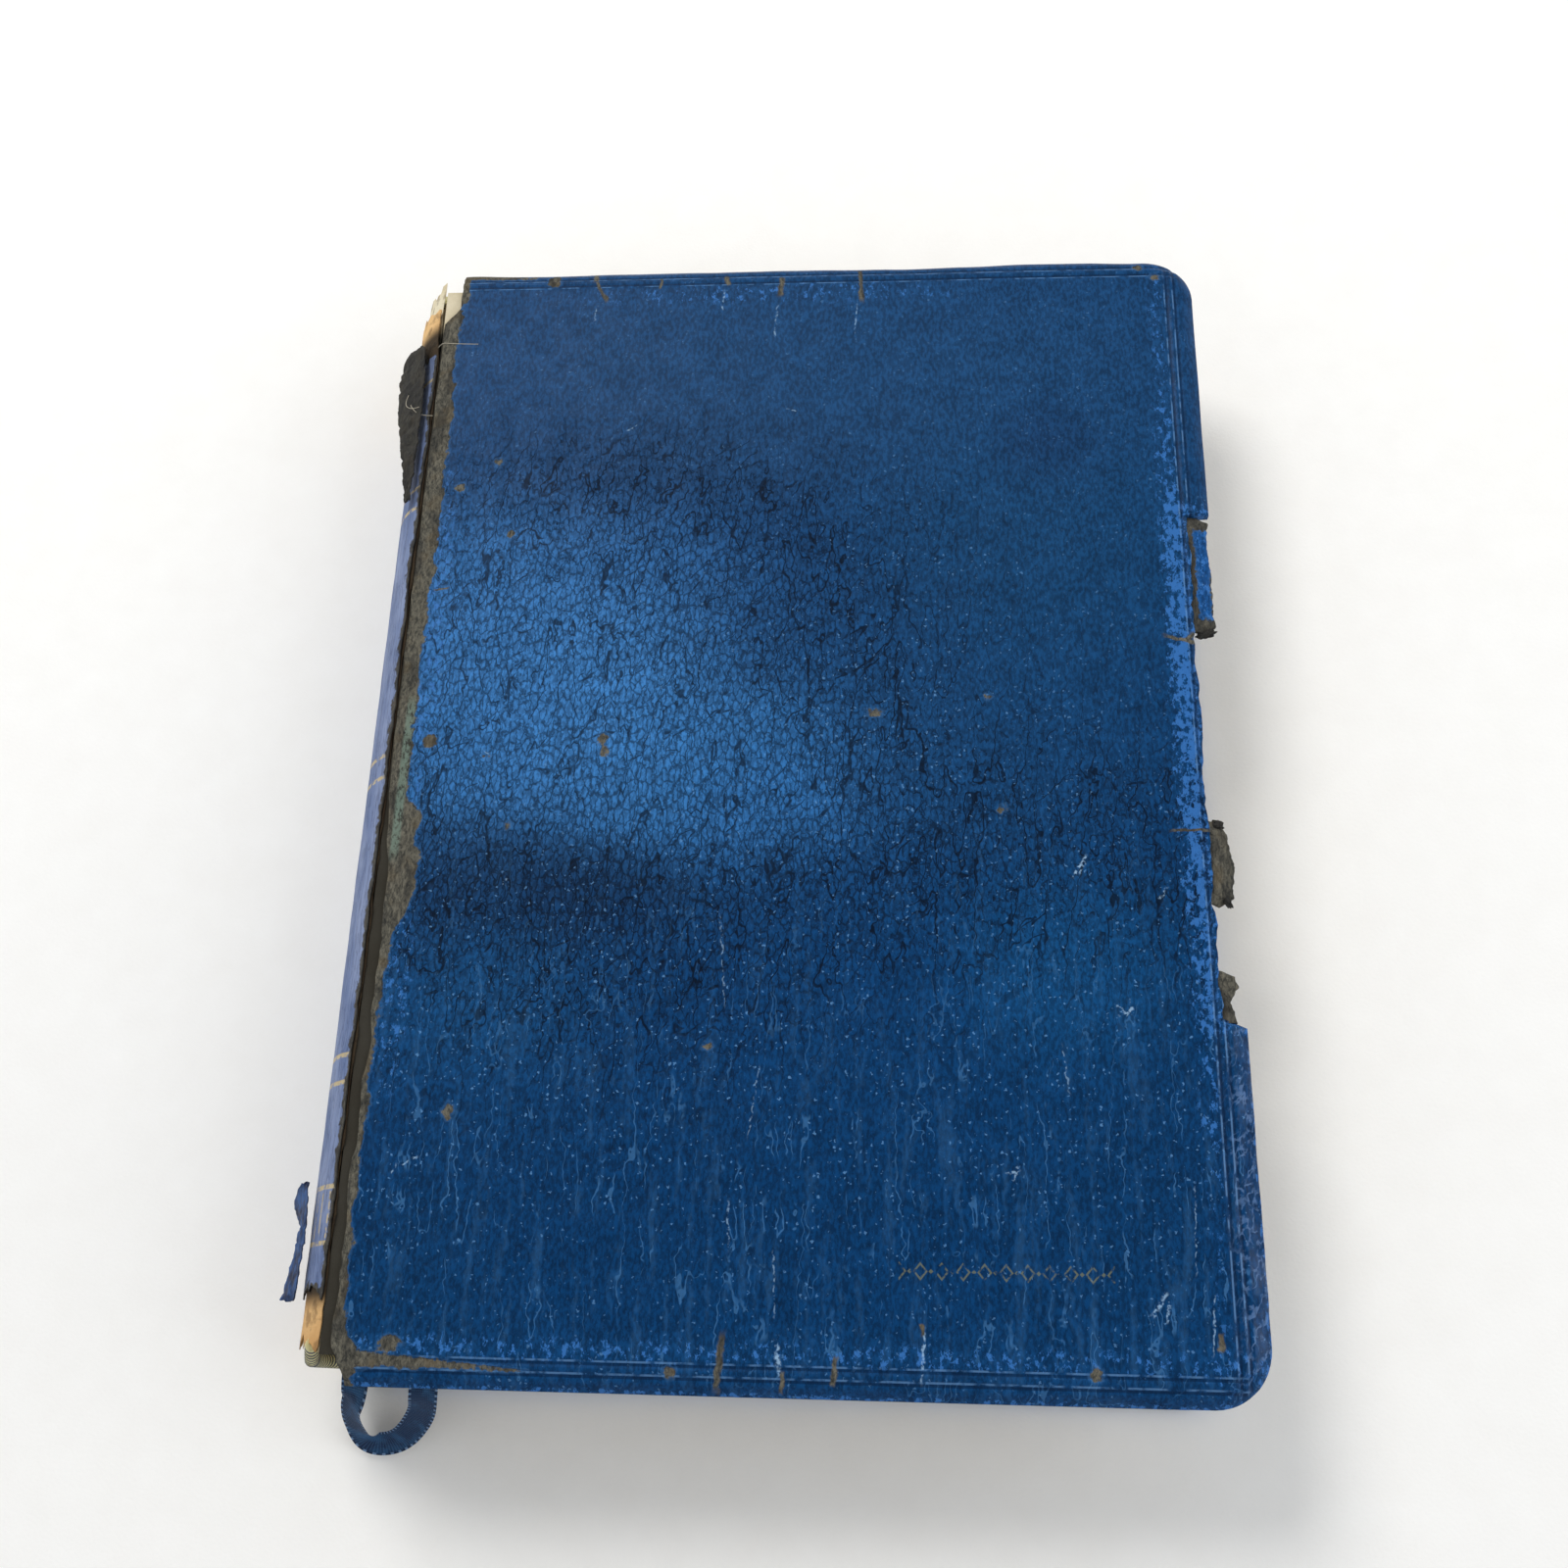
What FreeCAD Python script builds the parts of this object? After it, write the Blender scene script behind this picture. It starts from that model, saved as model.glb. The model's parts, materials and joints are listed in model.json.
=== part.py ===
import FreeCAD, Part
import math
import os
import Sketcher

# A limp leather-bound book, closed and lying on its back cover.
# Frame: +X from spine to fore-edge, +Y from tail to head, +Z up, origin under the middle of the book.

doc = FreeCAD.newDocument("limp_leather_book")
sheet = doc.addObject("Spreadsheet::Sheet", "sheet")

DIMENSIONS = (
    # covers: leather skin with a thick rim, card inside, three turned-in strips and a pasted leaf
    ("cover_width", 151.0),
    ("cover_length", 216.0),
    ("cover_corner", 9.5),
    ("leather_thickness", 0.9),
    ("rim_width", 4.6),
    ("rim_depth", 2.4),
    ("rim_round", 0.8),
    ("card_thickness", 0.6),
    ("card_clearance", 0.1),
    ("turn_in_width", 12.0),
    ("turn_in_thickness", 0.3),
    ("field_corner", 0.5),
    ("paper_thickness", 0.15),
    ("pastedown_margin", 4.0),
    # text block: sixteen sewn sections, opened between the eighth and the ninth
    ("section_thickness", 1.57),
    ("section_fold_round", 0.7),
    ("page_corner", 7.5),
    ("fore_edge_clearance", 0.6),
    ("end_clearance", 0.4),
    ("cover_gap", 0.1),
    ("block_rounding", 6.0),
    ("shoulder_inset", 0.5),
    # spine, from the folds outwards
    ("fold_clearance", 0.1),
    ("tape_thickness", 0.25),
    ("tape_width", 9.0),
    ("tape_spacing", 46.0),
    ("thread_diameter", 0.34),
    ("thread_overhang", 0.8),
    ("layer_gap", 0.03),
    ("mull_thickness", 0.2),
    ("mull_inset", 7.0),
    ("lining_thickness", 0.2),
    ("lining_inset", 1.2),
    ("liner_thickness", 0.6),
    ("liner_inset", 2.5),
    ("spine_leather_thickness", 0.9),
    ("spine_joint_gap", 0.3),
    ("spine_set_down", 0.3),
    ("spine_tail_loss", 14.0),
    ("spine_head_loss", 20.0),
    ("flap_thickness", 0.6),
    ("head_flap_length", 21.0),
    ("head_flap_inset", 17.0),
    ("tail_flap_length", 13.0),
    ("tail_flap_inset", 12.0),
    ("flap_height", 6.0),
    ("flap_set_down", 2.4),
    ("band_diameter", 2.0),
    # torn fore-edge of the front cover, measured up from the tail
    ("tear_start", 60.0),
    ("tear_end", 157.0),
    ("tear_clearance", 0.3),
    ("tear_rim_left", 0.1),
    ("upper_flap_length", 24.0),
    ("upper_flap_width", 4.0),
    ("upper_flap_depth", 0.3),
    ("tongue_start", 81.0),
    ("tongue_length", 15.0),
    ("tongue_width", 4.1),
    ("tongue_depth", 0.9),
    ("patch_length", 9.0),
    ("patch_width", 3.0),
    ("patch_depth", 0.6),
    ("edge_flap_thickness", 1.2),
    # ribbon marker
    ("ribbon_gap", 0.5),
    ("ribbon_width", 4.8),
    ("ribbon_thickness", 0.24),
    ("ribbon_run_inset", 1.8),
    ("ribbon_return_inset", 13.6),
    ("ribbon_return_length", 62.0),
    ("ribbon_tube_diameter", 1.2),
)

for row, (alias, number) in enumerate(DIMENSIONS, start=1):
    sheet.set(f"A{row}", alias)
    sheet.set(f"B{row}", str(number))
    sheet.setAlias(f"B{row}", alias)
doc.recompute()

SECTIONS = 16
HALF = SECTIONS // 2

# Formulas that more than one piece reads. Each is text, so that the pieces stay bound to the sheet.
COVER = "(sheet.leather_thickness + sheet.card_thickness + sheet.turn_in_thickness + sheet.paper_thickness)"
BLOCK_LOW = f"({COVER} + sheet.cover_gap + sheet.paper_thickness)"
BLOCK = f"({SECTIONS} * sheet.section_thickness + sheet.ribbon_gap)"
TOTAL = f"({BLOCK} + 2 * {BLOCK_LOW})"
MIDDLE = f"({TOTAL} / 2)"
BLOCK_RADIUS = f"((({BLOCK} / 2)^2 + sheet.block_rounding^2) / (2 * sheet.block_rounding))"
TAPE_IN = f"({BLOCK_RADIUS} + sheet.layer_gap)"
TAPE_OUT = f"({TAPE_IN} + sheet.tape_thickness)"
MULL_IN = f"({TAPE_OUT} + sheet.thread_diameter + 3 * sheet.layer_gap)"
MULL_OUT = f"({MULL_IN} + sheet.mull_thickness)"
LINING_OUT = f"({MULL_OUT} + sheet.layer_gap + sheet.lining_thickness)"
LINER_OUT = f"({LINING_OUT} + sheet.layer_gap + sheet.liner_thickness)"
LEATHER_IN = f"({LINER_OUT} + sheet.layer_gap)"
LEATHER_OUT = f"({LEATHER_IN} + sheet.spine_leather_thickness)"
# how far the spine stands out past the covers' joint edge, and the joint edge's place in X
SPINE_REACH = f"({LEATHER_OUT} - {BLOCK_RADIUS} + sheet.block_rounding - sheet.shoulder_inset)"
JOINT_X = f"(({SPINE_REACH} - sheet.cover_width) / 2)"
SPINE_X = f"({JOINT_X} + sheet.shoulder_inset - sheet.block_rounding + {BLOCK_RADIUS})"
# the squares: how far the covers stand out past the pages, which clear the rim's inside
FORE_EDGE_SQUARE = "(sheet.rim_width + sheet.fore_edge_clearance)"
END_SQUARE = "(sheet.rim_width + sheet.end_clearance)"
BLOCK_LENGTH = f"(sheet.cover_length - 2 * {END_SQUARE})"
PAGE_WIDTH = f"(sheet.cover_width - {FORE_EDGE_SQUARE} - sheet.shoulder_inset)"
CARD_WIDTH = "(sheet.cover_width - sheet.rim_width - sheet.card_clearance)"
CARD_LENGTH = "(sheet.cover_length - 2 * sheet.rim_width - 2 * sheet.card_clearance)"
CARD_CORNER = "(sheet.cover_corner - sheet.rim_width - sheet.card_clearance)"
TAIL_Y = "(0 - sheet.cover_length / 2)"


def value(formula):
    """The number that a formula on the sheet gives."""
    return float(sheet.evalExpression(formula.replace("sheet.", "")))


def bind(item, **formulas):
    """Bind properties to formulas; two underscores in a name stand for a dot."""
    for name, formula in formulas.items():
        item.setExpression(name.replace("__", "."), str(formula))


def place(item, x="0", y="0", z="0", rotation=None):
    if rotation is not None:
        item.Placement = FreeCAD.Placement(FreeCAD.Vector(), rotation)
    bind(item, Placement__Base__x=x, Placement__Base__y=y, Placement__Base__z=z)


X_AXIS = FreeCAD.Vector(1, 0, 0)
UPSIDE_DOWN = FreeCAD.Rotation(X_AXIS, 180)
ALONG_Y = FreeCAD.Rotation(X_AXIS, -90)


# ---- PartDesign helpers ----


def new_body(node):
    body = doc.addObject("PartDesign::Body", node)
    body.Label = node
    return body


def new_sketch(body, name, y="0", z="0"):
    """A sketch parallel to the body's XY plane, moved by y and z."""
    sketch = body.newObject("Sketcher::SketchObject", f"{body.Name}_{name}")
    plane = next(item for item in body.Origin.OriginFeatures if item.Role == "XY_Plane")
    sketch.AttachmentSupport = [(plane, "")]
    sketch.MapMode = "FlatFace"
    bind(sketch, AttachmentOffset__Base__y=y, AttachmentOffset__Base__z=z)
    return sketch


def constrain(sketch, kind, *where, name=None, formula=None):
    if formula is None:
        sketch.addConstraint(Sketcher.Constraint(kind, *where))
        return
    number = sketch.addConstraint(Sketcher.Constraint(kind, *where, value(formula)))
    sketch.renameConstraint(number, name)
    sketch.setExpression(f"Constraints.{name}", formula)


def draw_line(sketch, start, end):
    vectors = [FreeCAD.Vector(x, y, 0) for x, y in (start, end)]
    return sketch.addGeometry(Part.LineSegment(*vectors))


def draw_page(sketch, width, length, corner):
    """An outline that is square at the joint, x = 0, and has two round corners at the fore-edge."""
    wide, half, radius = value(width), value(length) / 2, value(corner)
    up = FreeCAD.Vector(0, 0, 1)

    def draw_corner(y, start, end):
        circle = Part.Circle(FreeCAD.Vector(wide - radius, y, 0), up, radius)
        return sketch.addGeometry(Part.ArcOfCircle(circle, start, end))

    tail = draw_line(sketch, (0, -half), (wide - radius, -half))
    tail_corner = draw_corner(radius - half, -math.pi / 2, 0)
    fore_edge = draw_line(sketch, (wide, radius - half), (wide, half - radius))
    head_corner = draw_corner(half - radius, 0, math.pi / 2)
    head = draw_line(sketch, (wide - radius, half), (0, half))
    joint = draw_line(sketch, (0, half), (0, -half))
    for first, second in ((tail, tail_corner), (tail_corner, fore_edge), (fore_edge, head_corner)):
        constrain(sketch, "Tangent", first, 2, second, 1)
    constrain(sketch, "Tangent", head_corner, 2, head, 1)
    constrain(sketch, "Coincident", head, 2, joint, 1)
    constrain(sketch, "Coincident", joint, 2, tail, 1)
    constrain(sketch, "Horizontal", tail)
    constrain(sketch, "Horizontal", head)
    constrain(sketch, "Vertical", fore_edge)
    constrain(sketch, "Equal", tail_corner, head_corner)
    constrain(sketch, "PointOnObject", joint, 1, -2)
    constrain(sketch, "Symmetric", tail, 1, head, 2, -1)
    constrain(sketch, "Radius", tail_corner, name="corner", formula=corner)
    constrain(sketch, "DistanceX", -1, 1, fore_edge, 1, name="width", formula=width)
    constrain(sketch, "DistanceY", tail, 1, head, 2, name="length", formula=length)


def draw_polygon(sketch, corners):
    """Straight sides through corners, each a pair of formulas measured from the sketch's origin."""
    points = [tuple(value(formula) for formula in corner) for corner in corners]
    count = len(points)
    sides = [draw_line(sketch, points[turn], points[(turn + 1) % count]) for turn in range(count)]
    for turn, (x, y) in enumerate(corners):
        constrain(sketch, "Coincident", sides[turn - 1], 2, sides[turn], 1)
        constrain(sketch, "DistanceX", -1, 1, sides[turn], 1, name=f"x_{turn}", formula=x)
        constrain(sketch, "DistanceY", -1, 1, sides[turn], 1, name=f"y_{turn}", formula=y)


def pad(body, sketch, name, length):
    feature = body.newObject("PartDesign::Pad", f"{body.Name}_{name}")
    feature.Profile = sketch
    bind(feature, Length=length)
    doc.recompute()
    return feature


def pocket(body, sketch, name, depth):
    """Cut from the sketch towards +Z, into the solid that the sketch's plane passes under."""
    before = body.Shape.Volume
    feature = body.newObject("PartDesign::Pocket", f"{body.Name}_{name}")
    feature.Profile = sketch
    feature.Reversed = True
    bind(feature, Length=depth)
    doc.recompute()
    if body.Shape.Volume >= before - 1.0:
        raise ValueError(f"{body.Name}_{name} cut nothing")
    return feature


def round_edges(body, name, radius, wanted):
    """Fillet the edges of the body's newest feature that wanted() picks."""
    tip = body.Tip
    edges = [f"Edge{i}" for i, edge in enumerate(tip.Shape.Edges, start=1) if wanted(edge.BoundBox)]
    if not edges:
        raise ValueError(f"{body.Name}_{name} found no edge")
    fillet = body.newObject("PartDesign::Fillet", f"{body.Name}_{name}")
    fillet.Base = (tip, edges)
    bind(fillet, Radius=radius)
    doc.recompute()


NEAR = 1e-4


def sheet_leaf(node, width, length, corner, thickness):
    """A flat leaf or card, square at the joint and round at its fore-edge corners."""
    body = new_body(node)
    sketch = new_sketch(body, "outline")
    draw_page(sketch, width, length, corner)
    pad(body, sketch, "leaf", thickness)
    return body


# ---- covers ----


def cover_leather(node):
    """A skin with a thick rim on three sides, open side up; the rim is the leather folded over."""
    body = new_body(node)
    outline = new_sketch(body, "outline")
    draw_page(outline, "sheet.cover_width", "sheet.cover_length", "sheet.cover_corner")
    pad(body, outline, "skin", "sheet.rim_depth")

    def on_the_outside(box):
        return box.ZMax < NEAR and box.XMax > NEAR

    round_edges(body, "edge", "sheet.rim_round", on_the_outside)
    tray = new_sketch(body, "tray", z="sheet.leather_thickness")
    card_room = ("sheet.cover_width - sheet.rim_width", "sheet.cover_length - 2 * sheet.rim_width")
    draw_page(tray, *card_room, "sheet.cover_corner - sheet.rim_width")
    pocket(body, tray, "room_for_card", "sheet.rim_depth")
    return body


def cover_pieces(side, place_piece):
    """The leather, card, turned-in strips and pasted leaf of one cover, each lying outer face down."""
    leather = cover_leather(f"{side}_cover_leather")
    place_piece(leather, "0", "0")

    card = sheet_leaf(f"{side}_cover_card", CARD_WIDTH, CARD_LENGTH, CARD_CORNER, "sheet.card_thickness")
    field = new_sketch(card, "field", z="sheet.card_thickness")
    draw_page(
        field, f"{CARD_WIDTH} - sheet.turn_in_width", f"{CARD_LENGTH} - 2 * sheet.turn_in_width", "sheet.field_corner"
    )
    pad(card, field, "raised_field", "sheet.turn_in_thickness")
    place_piece(card, "0", "sheet.leather_thickness")

    strips = "sheet.leather_thickness + sheet.card_thickness"
    fore_edge = sheet_leaf(
        f"{side}_turn_in_fore_edge", "sheet.turn_in_width", CARD_LENGTH, CARD_CORNER,
        "sheet.turn_in_thickness",
    )
    place_piece(fore_edge, f"{CARD_WIDTH} - sheet.turn_in_width", strips)
    for end, sign in (("head", 1), ("tail", -1)):
        strip = doc.addObject("Part::Box", f"{side}_turn_in_{end}")
        strip.Label = strip.Name
        length, width = f"{CARD_WIDTH} - sheet.turn_in_width", "sheet.turn_in_width"
        bind(strip, Length=length, Width=width, Height="sheet.turn_in_thickness")
        middle = f"{CARD_LENGTH} / 2 - sheet.turn_in_width"
        low_y = middle if sign > 0 else f"0 - {CARD_LENGTH} / 2"
        place_piece(strip, "0", strips, low_y)

    pastedown = sheet_leaf(
        f"{side}_pastedown",
        f"{CARD_WIDTH} - sheet.pastedown_margin",
        f"{CARD_LENGTH} - 2 * sheet.pastedown_margin",
        CARD_CORNER,
        "sheet.paper_thickness",
    )
    place_piece(pastedown, "0", f"{strips} + sheet.turn_in_thickness")
    return leather


def on_the_back(piece, x, depth, y="0"):
    place(piece, f"{JOINT_X} + {x}", y, depth)


def on_the_front(piece, x, depth, y="0"):
    """Turned over about X, so depth is measured down from the top and Y changes sign."""
    place(piece, f"{JOINT_X} + {x}", f"0 - ({y})", f"{TOTAL} - ({depth})", UPSIDE_DOWN)


back_leather = cover_pieces("back", on_the_back)
front_leather = cover_pieces("front", on_the_front)

# The front cover's rim is torn away along the middle of its fore-edge, down to the card. The cover is
# turned over about X, so its sketches measure Y from the head end of the tear.
TEAR_X = "(sheet.cover_width - sheet.rim_width + sheet.tear_rim_left)"
TEAR_LENGTH = "(sheet.tear_end - sheet.tear_start)"
PAST_THE_EDGE = "(sheet.cover_width + sheet.rim_round)"
tear = new_sketch(front_leather, "tear", y="sheet.cover_length / 2 - sheet.tear_end")
draw_polygon(
    tear,
    ((TEAR_X, "0"), (PAST_THE_EDGE, "0"), (PAST_THE_EDGE, TEAR_LENGTH), (TEAR_X, TEAR_LENGTH)),
)
pocket(front_leather, tear, "torn_rim", "sheet.rim_depth * 2")


# The flaps' ragged outer edges: shares of each flap's width, at even steps from its tail end.
UPPER_FLAP_SHARES = (1.0, 0.8, 0.95, 0.9, 0.6)
TONGUE_SHARES = (0.35, 0.9, 1.0, 0.7, 0.45)
PATCH_SHARES = (1.0, 0.85, 0.4)


def torn_flap(node, start, length, width, depth, ragged):
    """A scrap of leather left hanging in the tear; ragged gives the shares of its width along its length."""
    body = new_body(node)
    sketch = new_sketch(body, "outline")
    steps = len(ragged) - 1
    outer = [(f"{width} * {share}", f"{length} * {turn / steps}") for turn, share in enumerate(ragged)]
    draw_polygon(sketch, [("0", "0")] + outer + [("0", length)])
    pad(body, sketch, "scrap", "sheet.edge_flap_thickness")
    x = f"{JOINT_X} + {TEAR_X} + sheet.tear_clearance"
    place(body, x, f"{TAIL_Y} + {start}", f"{TOTAL} - {depth} - sheet.edge_flap_thickness")


torn_flap(
    "upper_edge_flap",
    "sheet.tear_end - sheet.tear_clearance - sheet.upper_flap_length",
    "sheet.upper_flap_length",
    "sheet.upper_flap_width",
    "sheet.upper_flap_depth",
    UPPER_FLAP_SHARES,
)
torn_flap(
    "edge_tongue",
    "sheet.tongue_start",
    "sheet.tongue_length",
    "sheet.tongue_width",
    "sheet.tongue_depth",
    TONGUE_SHARES,
)
torn_flap(
    "lower_edge_patch",
    "sheet.tear_start + sheet.tear_clearance",
    "sheet.patch_length",
    "sheet.patch_width",
    "sheet.patch_depth",
    PATCH_SHARES,
)

# ---- text block ----

page_outline = (BLOCK_LENGTH, "sheet.page_corner")


def section_height(number):
    """Where the lower face of a section lies; sections count from the front, so the first is on top."""
    gap = " + sheet.ribbon_gap" if number <= HALF else ""
    return f"({BLOCK_LOW} + {SECTIONS - number} * sheet.section_thickness{gap})"


def fold_depth(number):
    """How far a section's fold stands back from the spine's centre, so that it stays inside the arc."""
    half = "sheet.section_thickness / 2"
    rise = f"({section_height(number)} + {half} - {MIDDLE})"
    return f"(sqrt(({BLOCK_RADIUS} - sheet.fold_clearance - {half})^2 - {rise}^2) + {half})"


def add_section(number):
    node = f"section_{number:02d}"
    body = sheet_leaf(node, PAGE_WIDTH, *page_outline, "sheet.section_thickness")

    def at_the_fold(box):
        return box.XMax < NEAR and box.YLength > 1

    round_edges(body, "fold", "sheet.section_fold_round", at_the_fold)
    place(body, f"{SPINE_X} - {fold_depth(number)}", "0", section_height(number))


for number in range(1, SECTIONS + 1):
    add_section(number)

flyleaf_x = f"{SPINE_X} - {fold_depth(1)} + sheet.section_fold_round"
flyleaf_width = f"({PAGE_WIDTH} - sheet.section_fold_round)"
for side, height in (
    ("front", f"{TOTAL} - {BLOCK_LOW}"),
    ("back", f"{BLOCK_LOW} - sheet.paper_thickness"),
):
    leaf = sheet_leaf(f"{side}_flyleaf", flyleaf_width, *page_outline, "sheet.paper_thickness")
    place(leaf, flyleaf_x, "0", height)

# ---- spine ----


def spine_layer(node, inner, outer, windows):
    """Part of a tube about the spine's centre, left of the joint edge, inside each window's Y and Z."""
    tubes = []
    for name, radius in (("outside", outer), ("inside", inner)):
        tube = doc.addObject("Part::Cylinder", f"{node}_{name}")
        bind(tube, Radius=radius, Height="sheet.cover_length")
        place(tube, SPINE_X, TAIL_Y, MIDDLE, ALONG_Y)
        tubes.append(tube)
    ring = doc.addObject("Part::Cut", f"{node}_ring")
    ring.Base, ring.Tool = tubes
    boxes = []
    for turn, (low_y, length, low_z, height) in enumerate(windows):
        box = doc.addObject("Part::Box", f"{node}_window_{turn}")
        reach = f"({SPINE_REACH} + sheet.shoulder_inset)"
        bind(box, Length=f"{reach} - sheet.spine_joint_gap", Width=length, Height=height)
        place(box, f"{JOINT_X} - {reach}", f"{TAIL_Y} + {low_y}", low_z)
        boxes.append(box)
    window = boxes[0]
    if len(boxes) > 1:
        window = doc.addObject("Part::MultiFuse", f"{node}_windows")
        window.Shapes = boxes
    layer = doc.addObject("Part::Common", node)
    layer.Label = node
    layer.Base, layer.Tool = ring, window


def along_spine(inset_tail, inset_head):
    length = f"sheet.cover_length - ({inset_tail}) - ({inset_head})"
    return (inset_tail, length, "sheet.spine_set_down", f"{TOTAL} - 2 * sheet.spine_set_down")


TAPES = 3
tape_windows = []
for turn in range(TAPES):
    shift = f"{turn - (TAPES - 1) / 2} * sheet.tape_spacing"
    low_y = f"sheet.cover_length / 2 - sheet.tape_width / 2 + {shift}"
    tape_windows.append((low_y, "sheet.tape_width", BLOCK_LOW, f"{TOTAL} - 2 * {BLOCK_LOW}"))
spine_layer("sewing_tapes", TAPE_IN, TAPE_OUT, tape_windows)

mull_end = f"{END_SQUARE} + sheet.mull_inset"
spine_layer("mull", MULL_IN, MULL_OUT, [along_spine(mull_end, mull_end)])
lining_end = f"{END_SQUARE} + sheet.lining_inset"
lining_in = f"{MULL_OUT} + sheet.layer_gap"
spine_layer("spine_lining_paper", lining_in, LINING_OUT, [along_spine(lining_end, lining_end)])
liner_in = f"{LINING_OUT} + sheet.layer_gap"
liner_window = along_spine("sheet.liner_inset", "sheet.liner_inset")
spine_layer("spine_liner_card", liner_in, LINER_OUT, [liner_window])
leather_window = along_spine("sheet.spine_tail_loss", "sheet.spine_head_loss")
spine_layer("spine_leather", LEATHER_IN, LEATHER_OUT, [leather_window])

flap_in = f"{LEATHER_OUT} + sheet.layer_gap"
flap_out = f"{flap_in} + sheet.flap_thickness"
flap_low = f"{TOTAL} - sheet.flap_set_down - sheet.flap_height"
head_flap_low = "sheet.cover_length - sheet.head_flap_inset - sheet.head_flap_length"
head_window = (head_flap_low, "sheet.head_flap_length", flap_low, "sheet.flap_height")
spine_layer("spine_head_flap", flap_in, flap_out, [head_window])
tail_window = ("sheet.tail_flap_inset", "sheet.tail_flap_length", flap_low, "sheet.flap_height")
spine_layer("spine_tail_flap", flap_in, flap_out, [tail_window])


def end_band(node, end):
    """A rolled band over the block's end, along the arc of the folds."""
    ring = doc.addObject("Part::Torus", f"{node}_ring")
    bind(
        ring,
        Radius1=f"{BLOCK_RADIUS} - sheet.fold_clearance - sheet.band_diameter / 2",
        Radius2="sheet.band_diameter / 2",
    )
    y = f"{end} * ({BLOCK_LENGTH} / 2 + sheet.band_diameter / 2)"
    place(ring, SPINE_X, y, MIDDLE, ALONG_Y)
    window = doc.addObject("Part::Box", f"{node}_window")
    bind(window, Length=SPINE_REACH, Width="2 * sheet.band_diameter", Height=f"{TOTAL} - 2 * {BLOCK_LOW}")
    place(window, f"{JOINT_X} - {SPINE_REACH}", f"{y} - sheet.band_diameter", BLOCK_LOW)
    band = doc.addObject("Part::Common", node)
    band.Label = node
    band.Base, band.Tool = ring, window


end_band("head_band", 1)
end_band("tail_band", -1)


def add_stitches(node, numbers):
    """One stitch over each tape on each section's fold, as a group of short round bars."""
    radius = value("sheet.thread_diameter") / 2
    reach = value(TAPE_OUT) + value("sheet.layer_gap") + radius
    length = value("sheet.tape_width") + 2 * value("sheet.thread_overhang")
    bars = []
    for number in numbers:
        z = value(section_height(number)) + value("sheet.section_thickness") / 2
        x = value(SPINE_X) - math.sqrt(reach**2 - (z - value(MIDDLE)) ** 2)
        for turn in range(TAPES):
            y = (turn - (TAPES - 1) / 2) * value("sheet.tape_spacing") - length / 2
            start = FreeCAD.Vector(x, y, z)
            bars.append(Part.makeCylinder(radius, length, start, FreeCAD.Vector(0, 1, 0)))
    stitches = doc.addObject("Part::Feature", node)
    stitches.Label = node
    stitches.Shape = Part.makeCompound(bars)
    stitches.Placement = FreeCAD.Placement()


add_stitches("front_stitches", range(1, HALF + 1))
add_stitches("rear_stitches", range(HALF + 1, SECTIONS + 1))

# ---- ribbon marker ----

RIBBON_Z = f"({BLOCK_LOW} + {HALF} * sheet.section_thickness)"
BLOCK_TAIL = f"(0 - {BLOCK_LENGTH} / 2)"


def ribbon_run(node, inset, length):
    """A flat run of ribbon between the two halves, from the block's tail."""
    run = doc.addObject("Part::Box", node)
    run.Label = node
    bind(run, Length="sheet.ribbon_width", Width=length, Height="sheet.ribbon_thickness")
    x = f"{JOINT_X} + {inset} - sheet.ribbon_width / 2"
    place(run, x, BLOCK_TAIL, RIBBON_Z)


ribbon_run("ribbon_marker", "sheet.ribbon_run_inset", BLOCK_LENGTH)
ribbon_run("ribbon_end", "sheet.ribbon_return_inset", "sheet.ribbon_return_length")

# The loose loop's route: out of the block's tail, down to what the book lies on, and back in.
# Each point is a place across from the loop's first strand, beyond the block's tail, and below its start.
LOOP_POINTS = (
    (0.0, 0.0, 0.0),
    (0.0, 5.8, 0.0),
    (-0.9, 11.0, 5.4),
    (1.6, 13.6, 13.6),
    (8.2, 14.0, 13.8),
    (12.0, 11.6, 6.2),
    (11.8, 5.8, 0.0),
    (11.8, 0.0, 0.0),
)


def rounded_path(points):
    """Straight runs joined by tangent arcs, each as large as the two runs that it joins allow."""
    edges, radii, at = [], [], points[0]
    for before, corner, after in zip(points, points[1:], points[2:]):
        first, second = corner - before, after - corner
        shorter = min(first.Length, second.Length)
        turn = first.getAngle(second)
        cut = 0.45 * shorter
        radii.append(cut / math.tan(turn / 2))
        first.normalize()
        second.normalize()
        start, end = corner - first * cut, corner + second * cut
        inward = second - first
        inward.normalize()
        middle = corner + inward * (radii[-1] / math.cos(turn / 2) - radii[-1])
        edges += [Part.LineSegment(at, start).toShape(), Part.Arc(start, middle, end).toShape()]
        at = end
    edges.append(Part.LineSegment(at, points[-1]).toShape())
    return Part.Wire(edges), radii


def add_ribbon_loop():
    radius = value("sheet.ribbon_tube_diameter") / 2
    first_x = value(JOINT_X) + value("sheet.ribbon_run_inset")
    start = FreeCAD.Vector(first_x, value(BLOCK_TAIL), value(RIBBON_Z))
    points = [start + FreeCAD.Vector(across, -out, -down) for across, out, down in LOOP_POINTS]
    path, radii = rounded_path(points)
    section = Part.Wire(Part.makeCircle(radius, start, points[1] - start))
    tube = path.makePipeShell([section], True, False)
    expected = math.pi * radius**2 * path.Length
    print("ribbon loop length", round(path.Length, 1), "radii", [round(one, 1) for one in radii])
    if abs(tube.Volume / expected - 1) > 0.02:
        raise ValueError("the ribbon loop's volume is not its section times its length")
    loop = doc.addObject("Part::Feature", "ribbon_loop")
    loop.Label = "ribbon_loop"
    loop.Shape = tube
    loop.Placement = FreeCAD.Placement()


add_ribbon_loop()

# ---- check and write ----


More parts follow.
